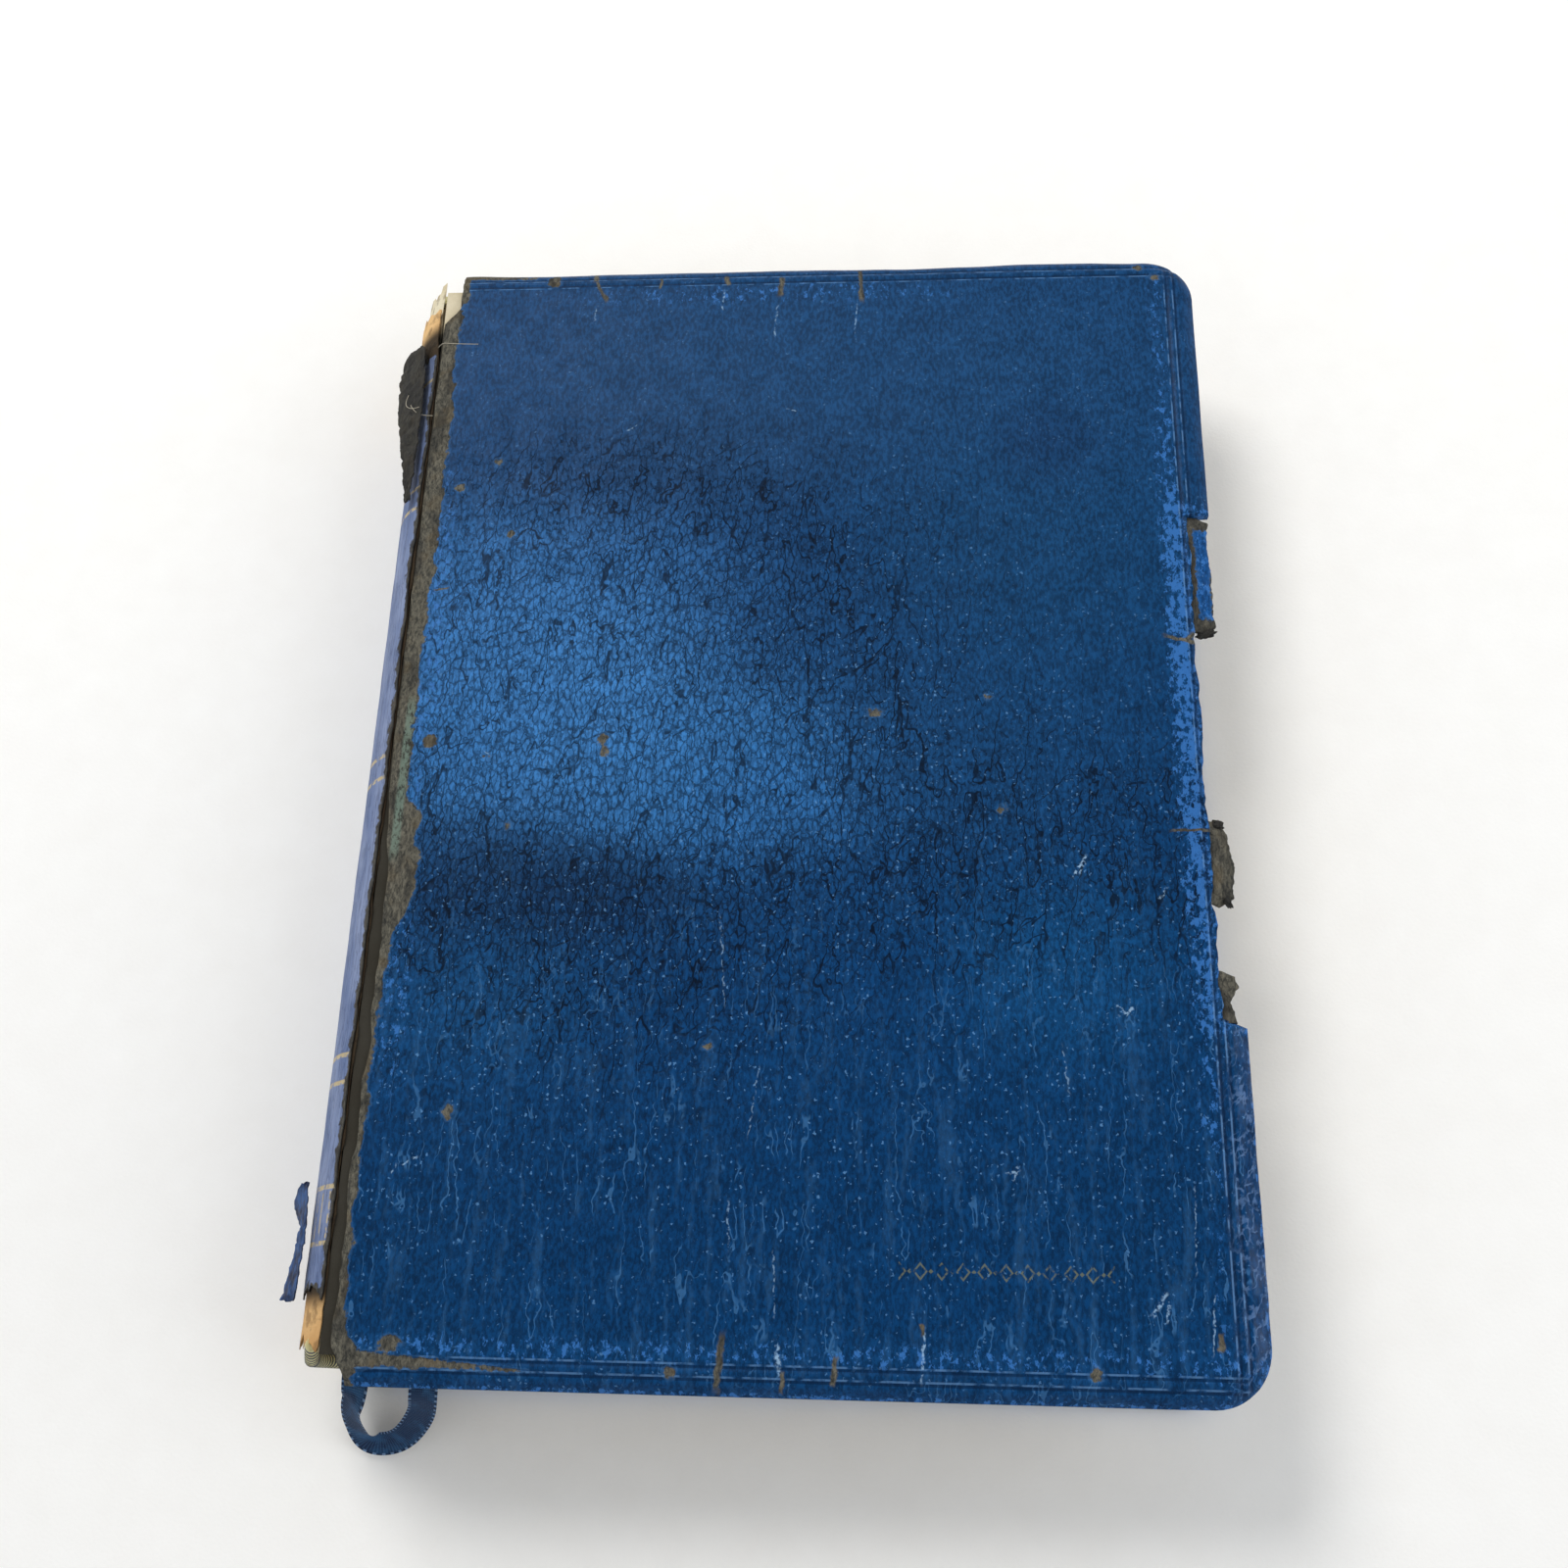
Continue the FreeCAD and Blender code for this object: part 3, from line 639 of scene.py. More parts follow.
def front_marks(x, y):
    """What the front cover's leather keeps at each corner of its grid."""
    u, v = x - JOINT - BARE_STRIP, y + HALF_LENGTH
    edge, inside = FORE_EDGE - x, inside_edge(x, y)
    cracked = 0.25 + 0.9 * hill(u, 35, 48) * hill(v, 120, 52) + 0.35 * hill(v, 90, 22)
    cracked *= 1 - 0.45 * hill(u, 24, 12) * hill(v, 122, 12)
    cracked *= 1 - 0.8 * hill(v, 200, 22)
    rubbed = 0.8 * hill(edge, 7.6, 2.0) * (0.25 + hill(v, 118, 62)) + 0.45 * hill(v, 6.3, 2.0)
    rubbed += 0.5 * hill(u, 0, 3.0) * hill(v, 130, 42) + 0.45 * hill(u, 1, 3) * hill(v, 62, 16)
    rubbed += 0.4 * hill(v, 209, 3) * hill(u, 62, 50)
    rubbed += 0.6 * hill(inside, 0.1, 0.5) * (0.2 + hill(v, 0, 50))
    if edge < 7 and 58 < v < 160:
        rubbed += 0.5
    flecked = 0.15 + 0.55 * hill(v, 55, 50) + 0.4 * hill(u, 85, 30) * hill(v, 125, 30)
    # glossy sets the coat, and also where painted highlights go on the rim's wrinkles
    glossy = 0.03 + 0.6 * hill(edge, 0, 5.0) * hill(v, 25, 42) + 0.1 * hill(inside, 0, 3)
    amounts = [min(1.0, amount) for amount in (cracked, rubbed, flecked, hill(v, 25, 52), glossy)]
    return leather_marks(fading_and_sheen(u, v), bareness(u, v), *amounts)


# %% [markdown]
# Thin marks have to be finer than the grid, so the finish draws them itself. A scratch is the set of
# places that are near a short line: the distance across the line and the distance along it are two dot
# products. Each scratch is shaken a little, because a real one is never straight.

# %% Draw thin marks
SCRATCHES = [
    # across, up, to across, to up, half-width, strength
    (117.6, 85.2, 120.4, 89.4, 0.22, 1.0), (119.2, 86.2, 120.0, 88.4, 0.16, 0.8),
    (132.4, 81.6, 133.8, 83.6, 0.24, 1.0), (124.6, 61.2, 127.8, 62.8, 0.2, 0.9),
    (124.0, 63.2, 126.6, 61.4, 0.16, 0.8), (125.8, 60.6, 126.6, 64.0, 0.14, 0.8),
    (106.4, 33.8, 107.4, 36.0, 0.22, 0.9), (105.2, 35.0, 107.8, 35.4, 0.14, 0.8),
    (127.6, 13.4, 130.0, 17.0, 0.3, 0.9), (129.8, 12.6, 130.2, 16.0, 0.18, 0.8),
    (5.4, 34.6, 8.0, 36.2, 0.16, 0.8), (3.6, 32.6, 4.6, 34.8, 0.14, 0.7),
    (18.0, 83.6, 18.8, 84.6, 0.2, 0.7), (12.4, 109.0, 14.0, 107.6, 0.14, 0.7),
    (65.5, 181.4, 68.0, 180.8, 0.14, 0.6), (34.0, 176.5, 36.4, 178.2, 0.12, 0.6),
    (134.6, 20.0, 135.4, 34.0, 0.1, 0.6), (136.6, 8.0, 137.4, 17.0, 0.12, 0.7),
    (91.6, 2.6, 92.0, 10.6, 0.2, 0.9), (60.6, 22.0, 60.2, 30.0, 0.14, 0.6),
    (67.8, 22.0, 68.4, 12.0, 0.12, 0.6), (69.4, 3.0, 68.6, 9.0, 0.3, 1.0),
    (26.6, 207.0, 26.2, 203.0, 0.16, 0.7), (63.4, 206.0, 63.0, 198.0, 0.14, 0.6),
    (79.4, 206.0, 79.0, 199.0, 0.14, 0.7), (52.4, 210.0, 52.2, 205.0, 0.14, 0.7),
    (58.4, 62.0, 57.0, 78.0, 0.1, 0.5), (63.2, 40.0, 64.6, 52.0, 0.1, 0.5),
    (116.0, 48.0, 115.0, 56.0, 0.12, 0.5),
]
CRACKS = [
    (25.4, 216.2, 26.0, 212.6, 0.5, 1.0), (26.0, 213.0, 28.6, 207.6, 0.34, 1.0),
    (39.4, 213.6, 39.4, 210.6, 0.3, 1.0), (52.8, 213.8, 53.0, 211.0, 0.4, 1.0),
    (64.2, 213.0, 63.6, 208.2, 0.55, 1.0), (79.8, 215.2, 80.4, 206.4, 0.42, 1.0),
    (59.2, 0.4, 60.2, 9.6, 0.5, 1.0), (69.6, 0.6, 69.8, 4.0, 0.34, 1.0),
    (77.6, 1.8, 78.2, 6.2, 0.42, 1.0), (91.8, 9.6, 91.4, 11.6, 0.3, 1.0),
    (136.0, 131.6, 143.0, 129.8, 0.34, 1.0), (139.4, 130.4, 141.5, 132.4, 0.4, 1.0),
    (135.0, 93.8, 142.0, 94.2, 0.28, 1.0), (-0.5, 142.0, 2.4, 142.4, 0.2, 1.0),
    (137.8, 8.4, 138.0, 11.0, 0.4, 1.0),
]


def thin_mark(finish, place, start_u, start_v, end_u, end_v, half_width):
    """1 on a short line on the cover and 0 away from it."""
    origin = Vector((JOINT + BARE_STRIP, -HALF_LENGTH, 0))
    start, end = origin + Vector((start_u, start_v, 0)), origin + Vector((end_u, end_v, 0))
    ahead = (end - start).normalized()
    aside = Vector((-ahead.y, ahead.x, 0))
    away = finish.vector("SUBTRACT", place, tuple((start + end) / 2))
    across = abs(finish.vector("DOT_PRODUCT", away, tuple(aside), output=1))
    along = abs(finish.vector("DOT_PRODUCT", away, tuple(ahead), output=1))
    half = (end - start).length / 2
    return (1 - finish.rise(across, half_width * 0.6, half_width * 1.5)) * (
        1 - finish.rise(along, half * 0.7, half * 1.15)
    )


def thin_marks(finish, place, rows):
    marks = 0.0
    for *line, strength in rows:
        mark = thin_mark(finish, place, *line) * strength
        marks = mark.highest(marks)
    return marks


# %% [markdown]
# The leather finish puts the layers on in the order that time did: dye, fading, fine cracks, rubbing,
# flecks, scratches, then the bare fibre. Painted light goes on too: the broad colour holds a painted sheen,
# and painted highlights go on the glossy wrinkles near the rim. The height follows the same masks, so that a
# crack is a groove
# and a bare spot is a shallow dish. A short stamped row near the tail of the front is made of distances
# too: lozenges and dots that repeat along it.

# %% Dye the leather and paint its highlights
FIBRE_LIGHT, FIBRE_DARK = ink(112, 108, 96), ink(58, 58, 54)


def fibre_color(finish):
    """Felted fibre under the dyed skin: short strands in greys and browns."""
    strands = finish.cloud(0.5, 4.0, finish.stretched((1.0, 0.35, 1.0), finish.warped(0.6, 1.5)), 0.7)
    grey = finish.mix(finish.rise(strands, 0.32, 0.68), FIBRE_DARK, FIBRE_LIGHT)
    browned = finish.rise(finish.cloud(5.0, 2.0), 0.5, 0.68)
    grey = finish.mix(browned * 0.45, grey, ink(98, 86, 66))
    stained = finish.rise(finish.cloud(3.4, 4.0, finish.stretched((1.0, 0.4, 1.0))), 0.5, 0.62)
    return finish.mix(stained * 0.55, grey, ink(40, 41, 42)), strands


def leather_cracks(finish, place, size, width):
    """A net of fine cracks that run mostly up and down, size millimetres apart."""
    drawn_out = finish.stretched((1.0, 0.42, 1.0), place)
    sockets = {"Vector": drawn_out, "Scale": 1 / size, "Randomness": 1.0}
    gap = finish.node("TexVoronoi", {"feature": "DISTANCE_TO_EDGE"}, sockets)
    return 1 - finish.rise(gap, width * 0.35, width)


def wandering_lines(finish, place, size, levels, half_width, turn=0.0, drawn=0.26):
    """Long thin lines that wander up and down: contour lines of smooth noise that is drawn out."""
    turned = finish.node("Mapping", {}, {"Vector": place, "Rotation": (0, 0, turn)})
    value = finish.cloud(size, 1.5, finish.stretched((1.0, drawn, 1.0), turned)) * levels
    gap = abs(finish.fraction(value) - 0.5) / levels
    return 1 - finish.rise(gap, half_width * 0.4, half_width)


def flecks(finish, place, size, reach):
    """Small separate specks: the places near the middles of some cells."""
    sockets = {"Vector": place, "Scale": 1 / size}
    near = finish.node("TexVoronoi", {}, sockets)
    chosen = finish.node("SeparateColor", {}, {0: finish.node("TexVoronoi", {}, sockets, "Color")})
    return 1 - finish.rise(near / reach + chosen * 1.6, 0.7, 1.1)


TOOLED = ((FORE_EDGE - 3.7, FORE_EDGE - 5.3), (2.4, 4.3))


def tooled_lines(finish, aside, half_width):
    """1 on the thin tooled lines along the free edges, moved inwards by aside millimetres."""
    x, down = finish.axis(0), HALF_LENGTH - abs(finish.axis(1))
    lines = 0.0
    for line in TOOLED[0]:
        near = 1 - finish.rise(abs(x - (line + aside)), half_width * 0.5, half_width)
        lines = (near * finish.rise(down, 2.0, 3.0)).highest(lines)
    for line in TOOLED[1]:
        near = 1 - finish.rise(abs(down - (line - aside)), half_width * 0.5, half_width)
        lines = (near * (1 - finish.rise(x, TOOLED[0][0] - 0.6, TOOLED[0][0] + 0.2))).highest(lines)
    return lines


def ornament(finish):
    """A short stamped row of lozenges and dots on the front, once gilt and now mostly rubbed away."""
    middle, pitch, half_row = (JOINT + BARE_STRIP + 105.0, 19.5 - HALF_LENGTH), 3.4, 17.0
    across, up = finish.axis(0) - middle[0], finish.axis(1) - middle[1]
    aside = abs(finish.fraction(across / pitch + 0.5) - 0.5) * pitch
    lozenge = 1 - finish.rise(abs(aside / 1.15 + abs(up) / 1.4 - 0.86), 0.1, 0.22)
    dot = 1 - finish.rise(abs(aside - pitch / 2) + abs(up), 0.3, 0.46)
    row = lozenge.highest(dot) * (1 - finish.rise(abs(across), half_row, half_row + 0.1))
    kept = finish.rise(finish.cloud(1.1, 3.0), 0.4, 0.54)
    return row * kept * finish.rise(finish.axis(2), MIDDLE, MIDDLE + 1)


def cover_finish():
    finish = Finish("navy_leather", Specular_IOR_Level=0.06, Coat_Roughness=0.22)
    tone = finish.attribute("tone", "Color")
    bare, low = finish.attribute("bare"), finish.attribute("low")
    cracked, rubbed, flecked = (finish.attribute(mark) for mark in ("cracked", "rubbed", "flecked"))
    shaken, shivered = finish.warped(1.0, 3.2), finish.warped(0.45, 0.7)
    broken, patches = finish.cloud(1.6, 3.0), finish.cloud(6.0, 3.0)
    long_lines = wandering_lines(finish, shaken, 3.6, 3, 0.015, 0.06, 0.2) * finish.rise(broken, 0.26, 0.36)
    slanted = wandering_lines(finish, shaken, 6.5, 3, 0.01, 0.75) * finish.rise(patches, 0.48, 0.58)
    squiggles = leather_cracks(finish, shivered, 1.05, 0.13) * finish.rise(broken + cracked * 0.4, 0.6, 0.8)
    nets = long_lines.highest(slanted).highest(squiggles * 0.72) * finish.rise(cracked, 0.12, 0.6)
    mottle, grains = finish.cloud(6.0, 4.0), finish.cloud(0.6, 4.0, finish.stretched((1.0, 0.45, 1.0)), 0.68)
    patchy = finish.rise(mottle, 0.34, 0.66) * 0.18 + finish.rise(grains, 0.4, 0.62) * 0.56
    color = finish.vector("SCALE", tone, Scale=(0.6 + patchy) * (1 - nets * 0.78))
    speckled = flecks(finish, finish.warped(0.5, 0.5), 0.85, 0.3)
    speckled = speckled * finish.rise(patches + flecked * 0.35, 0.48, 0.66)
    color = finish.mix(speckled * (0.2 + flecked * 0.6), color, ink(98, 148, 198))
    drawn = wandering_lines(finish, shaken, 3.4, 3, 0.012, 0.0, 0.09)
    streaked = drawn * finish.rise(finish.cloud(7.0, 3.0), 0.46, 0.58) * low
    veiled = finish.rise(finish.cloud(1.6, 3.0, finish.stretched((1.0, 0.1, 1.0), shaken)), 0.5, 0.72) * low
    color = finish.mix(veiled * 0.14 + streaked * 0.4, color, ink(74, 128, 180))
    rub_grain = finish.cloud(1.1, 5.0, finish.stretched((1.0, 0.6, 1.0)), 0.75)
    rubbing = finish.rise(rub_grain + rubbed * 0.16, 0.6, 0.66) * finish.rise(rubbed, 0.05, 0.35)
    color = finish.mix(rubbing * 0.75, color, ink(58, 116, 186))
    scratched = thin_marks(finish, finish.warped(0.55, 1.3), SCRATCHES)
    scratched = scratched * finish.rise(finish.cloud(0.7, 3.0), 0.42, 0.6)
    color = finish.mix(scratched * 0.8, color, ink(150, 184, 214))
    color = finish.mix(tooled_lines(finish, 0.0, 0.3) * 0.55, color, ink(4, 26, 54))
    glints = tooled_lines(finish, -0.42, 0.2) * finish.rise(finish.cloud(2.4, 3.0), 0.4, 0.58)
    color = finish.mix(glints * 0.5, color, ink(104, 148, 196))
    color = finish.mix(ornament(finish) * 0.6, color, ink(118, 120, 90))
    torn = thin_marks(finish, finish.warped(0.7, 2.0), CRACKS)
    glossy = finish.attribute("glossy")
    # Painted highlights: pale streaks on the glossy wrinkles near the lower fore-edge stand in for their
    # sparkling reflections.
    wrinkle_glints = wandering_lines(finish, finish.warped(0.6, 2.0), 1.5, 3, 0.05, 0.5, 0.4)
    wrinkle_glints = wrinkle_glints * finish.rise(broken, 0.4, 0.6) * finish.rise(glossy, 0.1, 0.5)
    color = finish.mix(wrinkle_glints * 0.4, color, ink(112, 146, 194))
    fibre, strands = fibre_color(finish)
    ragged = bare + finish.shake(1.4, 0.8)
    gone = finish.rise(ragged, -0.12, 0.18).highest(torn)
    rim = finish.rise(ragged, -0.5, -0.12)
    color = finish.mix(rim * 0.25, color, ink(70, 118, 170))
    lining = (1 - finish.rise(abs(finish.axis(0) - JOINT - 2.8), 0.5, 1.1)) * (
        1 - finish.rise(abs(finish.axis(1) + 4.0), 13.0, 17.0)
    )
    fibre = finish.mix(lining * finish.rise(strands, 0.35, 0.55) * 0.8, fibre, ink(112, 130, 118))
    color = finish.mix(gone, color, fibre)
    gloss = 0.42 + mottle * 0.16 - rubbing * 0.05 + nets * 0.1
    dish = finish.rise(bare, -0.12, 0.18) * (strands * 0.3 - 0.3)
    return finish.paint(
        color=color,
        coat=glossy * (1 - gone) * finish.rise(mottle, 0.4, 0.6) * 0.5,
        roughness=gloss * (1 - gone) + 0.95 * gone,
        height=grains * 0.03 - nets * 0.06 + finish.cloud(3.0, 3.0) * 0.1 + dish,
    )


cover_leather = cover_finish()

# %% [markdown]
# ## The covers
# Each cover's leather is one thin shell with a thicker rim, because the skin is turned in over the card
# there, and its three free edges are turned down towards the pages. A pair of thin tooled lines runs
# inside them. The grid has close columns and rows where the lines are, so that they are real grooves.

# %% Find the edge of a cover
TEAR_LOW, TEAR_HIGH, TEAR_X = -48.0, 49.0, 75.1


def inside_edge(x, y):
    """How far a place is inside the cover's three free edges, whose outer corners are round."""
    side, end = FORE_EDGE - x, HALF_LENGTH - abs(y)
    if side < CORNER and end < CORNER:
        return CORNER - hypot(CORNER - side, CORNER - end)
    return min(side, end)


def rounded(x, y, right, half):
    """Moves a place of a square-cornered outline into the same outline with round fore-edge corners."""
    a, b = x - (right - CORNER), abs(y) - (half - CORNER)
    if a <= 0 or b <= 0:
        return x, y
    share = max(a, b) / hypot(a, b)
    return right - CORNER + a * share, (half - CORNER + b * share) * (1 if y > 0 else -1)


GROOVE_DEPTH, GROOVE_WIDTH = 0.28, 0.42


def groove(distance):
    return exp(-((distance / GROOVE_WIDTH) ** 2))


def tooling(x, y):
    """How deep the tooled lines are at a place."""
    down = HALF_LENGTH - abs(y)
    fades_up, fades_in = clamp((down - 1.5) / 1.5), clamp((FORE_EDGE - x - 2.5) / 1.5)
    lines = sum(groove(x - line) for line in TOOLED[0]) * fades_up
    lines += sum(groove(down - line) for line in TOOLED[1]) * fades_in
    return GROOVE_DEPTH * min(1.0, lines)


# %% Shape the front cover


def tear_edge(y):
    """The fore-edge where it is whole, and the ragged line where the rim has torn off."""
    if TEAR_LOW < y < TEAR_HIGH:
        return TEAR_X + 0.45 * rough(0, y, 3, 5.0) + 0.3 * rough(0, y, 5, 1.4)
    return FORE_EDGE


def turned_down(x, y):
    """How far the top surface lies below the cover's flat top."""
    inside = max(0.0, inside_edge(x, y))
    slack = 1 + 0.3 * rough(x, y, 1, 30.0)
    drop = 2.1 * slack * max(0.0, 1 - inside / RIM) ** 2.4
    low_corner = hill(y, -82, 26) * max(0.0, 1 - inside / 5.5)
    drop += low_corner * (0.5 + 0.55 * rough(x, y / 2.2, 2, 3.2))
    joint_side = max(0.0, 1 - (x - JOINT) / 4.0)
    drop += 0.5 * joint_side**2 + 0.16 * (1 - min(1.0, (x - JOINT) / 6.0)) * (1 + rough(x, y, 4, 2.0))
    return drop + 0.12 * (1 + rough(x, y, 7, 26.0)) + 0.03 * rough(x, y, 8, 6.0)


def front_place(x, y):
    x, y = rounded(x, y, FORE_EDGE, HALF_LENGTH)
    squeezed = FORE_EDGE - 14.0
    if x > squeezed:
        x = squeezed + (x - squeezed) * (tear_edge(y) - squeezed) / (FORE_EDGE - squeezed)
    near = max(0.0, 1 - (x - JOINT) / 9)
    torn_back = 0.25 + 0.3 * rough(0, y, 6, 4.5) + 3.0 * clamp((y - 95.5) / 3.0)
    torn_back += (1.9 + 0.5 * rough(0, y, 14, 8.0)) * clamp((-4.0 - y) / 22.0)
    torn_back += 2.6 * clamp((-102.0 - y) / 5.0)
    x += near * min(torn_back, 5.2)
    return (x, y, TOP - turned_down(x, y) - tooling(x, y))


def lines_near(start, end, size, *fine):
    """Grid lines from start to end, with closer ones in each fine stretch (from, to, size)."""
    numbers = {round(number, 3) for number in steps(start, end, size)}
    for low, high, close in fine:
        numbers = {number for number in numbers if not low <= number <= high}
        numbers |= {round(number, 3) for number in steps(low, high, close)}
    return sorted(numbers)


columns = lines_near(JOINT, FORE_EDGE, 1.15, (FORE_EDGE - 6.3, FORE_EDGE, 0.32), (JOINT, JOINT + 9, 0.8))
rows = lines_near(
    -HALF_LENGTH, HALF_LENGTH, 1.15,
    (-HALF_LENGTH, 5.2 - HALF_LENGTH, 0.34), (HALF_LENGTH - 5.2, HALF_LENGTH, 0.34),
)


def marks_where(marks, place):
    """The marks of the place that a grid corner is moved to."""
    return lambda x, y: marks(*place(x, y)[:2])


def under_front(point):
    inside = inside_edge(point.x, point.y)
    depth = 0.9 if inside > RIM else 2.4 - max(0.0, 1 - inside / RIM)
    if TEAR_LOW < point.y < TEAR_HIGH and point.x > TEAR_X - 0.6:
        depth = 1.7
    return (point.x, point.y, point.z - depth)


bm = sheet_grid(columns, rows, front_place, marks_where(front_marks, front_place))
riding(
    "front_leather", thicken(bm, under_front), cover_leather, "front_cover", "cover_leather",
    "front_cover_leather",
)

# %% Shape the back cover


def back_marks(x, y):
    """The back cover has rested on tables: rubbed along its edges and joint, less cracked."""
    u, v = x - JOINT - BARE_STRIP, y + HALF_LENGTH
    inside = inside_edge(x, y)
    deep = 0.5 + 0.5 * rough(x, y, 40, 60.0)
    tone = [a + (b - a) * deep for a, b in zip(ink(10, 52, 94), ink(30, 80, 130))]
    spots = 0.55 * rough(x, y, 41, 9.0, 4) - 0.42 - 0.2 * min(8.0, inside)
    return leather_marks(
        tuple(tone),
        bare=max(-DEEPEST, 0.9 * rough(x, y, 42, 5.0) - 0.7 - u * 0.5, spots),
        cracked=0.55 + 0.3 * rough(x, y, 43, 40.0),
        rubbed=0.8 * hill(inside, 0.5, 3.0) + 0.3 * hill(u, 0, 8),
        flecked=0.45,
        low=0.25 * hill(v, 100, 60),
        glossy=0.15,
    )


def back_place(x, y):
    x, y = rounded(x, y, FORE_EDGE, HALF_LENGTH)
    inside = max(0.0, inside_edge(x, y))
    lift = 0.75 * (1 + 0.3 * rough(x, y, 21, 25.0)) * max(0.0, 1 - inside / RIM) ** 2.2
    return (x, y, max(0.02, lift) + tooling(x, y))


def over_back(point):
    inside = inside_edge(point.x, point.y)
    depth = 0.88 if inside > RIM else 2.36 - 0.8 * max(0.0, 1 - inside / RIM)
    return (point.x, point.y, point.z + depth)


bm = sheet_grid(columns, rows, back_place, marks_where(back_marks, back_place))
riding(
    "back_leather", thicken(bm, over_back), cover_leather, "back_cover", "cover_leather",
    "back_cover_leather",
)

# %% [markdown]
# ## Torn pieces of the rim
# Where the rim has broken away, three scraps still hang on the front cover's fore-edge. Each is a small
# sheet between the tear and its own ragged outer edge, and it droops, because leather that has lost its
# card goes limp. Scraps keep a little dyed skin in the middle and show fibre all round.

# %% Hang the scraps


def scrap(name, node, outline, skin, droop, crumple):
    """A torn piece of the rim. outline gives its outer edge up the book, and skin where its dye is left."""
    low, high = box_mm(node)

    def place(share, y):
        start = tear_edge(y) - 0.25
        x = start + (table_value(outline, y) + 0.25 * rough(share, y, 1, 1.1) - start) * share
        wave = crumple * rough(x, y, 50, 3.0) + 0.4 * crumple * rough(x, y, 51, 1.2)
        fall = droop * share**1.6 + 0.45
        return (x, y + 0.2 * rough(x, y, 52, 1.3), TOP - 0.35 - fall + wave * (0.3 + share))

    def marks(share, y):
        x = place(share, y)[0]
        inside = min(x - skin[0], skin[1] - x, (y - skin[2]) * 0.8, (skin[3] - y) * 0.8)
        bare = -inside + 0.4 * rough(x, y, 53, 1.5)
        return leather_marks(ink(22, 74, 130), clamp(bare, -DEEPEST, DEEPEST), 0.3, 0.5, 0.5)

    bm = sheet_grid(steps(0, 1, 0.07), steps(low.y, high.y, 0.35), place, marks)
    return riding(name, thicken_evenly(bm, 0.75), cover_leather, "front_cover", "cover_leather", node)


scrap(
    "upper_scrap", "upper_edge_flap",
    [(24.7, 77.2), (26, 79.4), (28, 79.0), (37, 79.2), (38, 78.9), (46, 78.8), (47.6, 79.4), (48.7, 76.6)],
    (76.3, 79.0, 27.6, 45.8), 0.9, 0.3,
)
scrap(
    "middle_scrap", "edge_tongue",
    [(-27, 76.6), (-25.6, 78.9), (-23, 79.1), (-20, 79.6), (-17, 78.8), (-14, 78.6), (-12, 76.8)],
    (90, 91, 0, 1), 1.6, 0.5,
)
scrap(
    "lower_scrap", "lower_edge_patch",
    [(-47.7, 77.8), (-44, 76.9), (-41.5, 78.4), (-39.6, 78.0), (-38.7, 76.0)], (90, 91, 0, 1), 0.6, 0.35,
)

# %% Roll the twisted ends of the scraps


def fibre_finish():
    """Bare, soiled leather fibre, for the pieces that have no dyed skin at all."""
    finish = Finish("dark_fibre", Specular_IOR_Level=0.2)
    color, strands = fibre_color(finish)
    return finish.paint(finish.mix(0.72, color, ink(30, 30, 31)), 0.82 + strands * 0.16, strands * 0.3)


dark_fibre = fibre_finish()


def twisted_end(name, middle, half_sizes, turn):
    """A crumpled knot of leather: a sphere that is stretched, turned and dented by noise."""
    bm = bmesh.new()
    bmesh.ops.create_icosphere(bm, subdivisions=4, radius=1.0)
    for corner in bm.verts:
        away = corner.co.copy()
        dent = 1 + 0.45 * rough(*(away * 1.3), 1.0) + 0.12 * rough(*(away * 4), 1.0)
        x, y, z = (part * size * dent for part, size in zip(away, half_sizes))
        turned = Vector((x * cos(turn) - y * sin(turn), x * sin(turn) + y * cos(turn), z))
        corner.co = (turned + Vector(middle)) * MM
    bmesh.ops.recalc_face_normals(bm, faces=bm.faces[:])
    return riding(name, bm, dark_fibre, "front_cover", "worn_leather")


twisted_end("upper_twist", (77.6, 24.6, 28.2), (1.9, 0.75, 0.65), radians(20))
twisted_end("middle_twist", (77.6, -25.6, 27.9), (0.75, 1.9, 0.6), radians(24))
twisted_end("middle_curl", (76.9, -12.6, 28.5), (1.2, 0.75, 0.6), radians(-15))

# %% [markdown]
# ## The spine
# Under the spine leather lie a board, a paper lining and the open cloth that the sections are glued to.
# All are arcs about one line, so one tool makes them: a sheet given by an angle around that line and a
# distance up the book. Its ends and its front edge are ragged, because the spine has broken along the
# front joint. These pieces bend from the rear half to the front half of the book.

# %% Shape the spine layers
BEND_FROM, BEND_TO = (SPINE_X - 17, 0, MIDDLE - 4.5), (SPINE_X - 17, 0, MIDDLE + 4.5)
HALVES = ("rear_half", "front_half")


def on_arc(radius, turn, y):
    """A point on an arc about the spine's line. turn is in degrees, 0 outwards and rising to the front."""
    return (SPINE_X - radius * cos(radians(turn)), y, MIDDLE + radius * sin(radians(turn)))


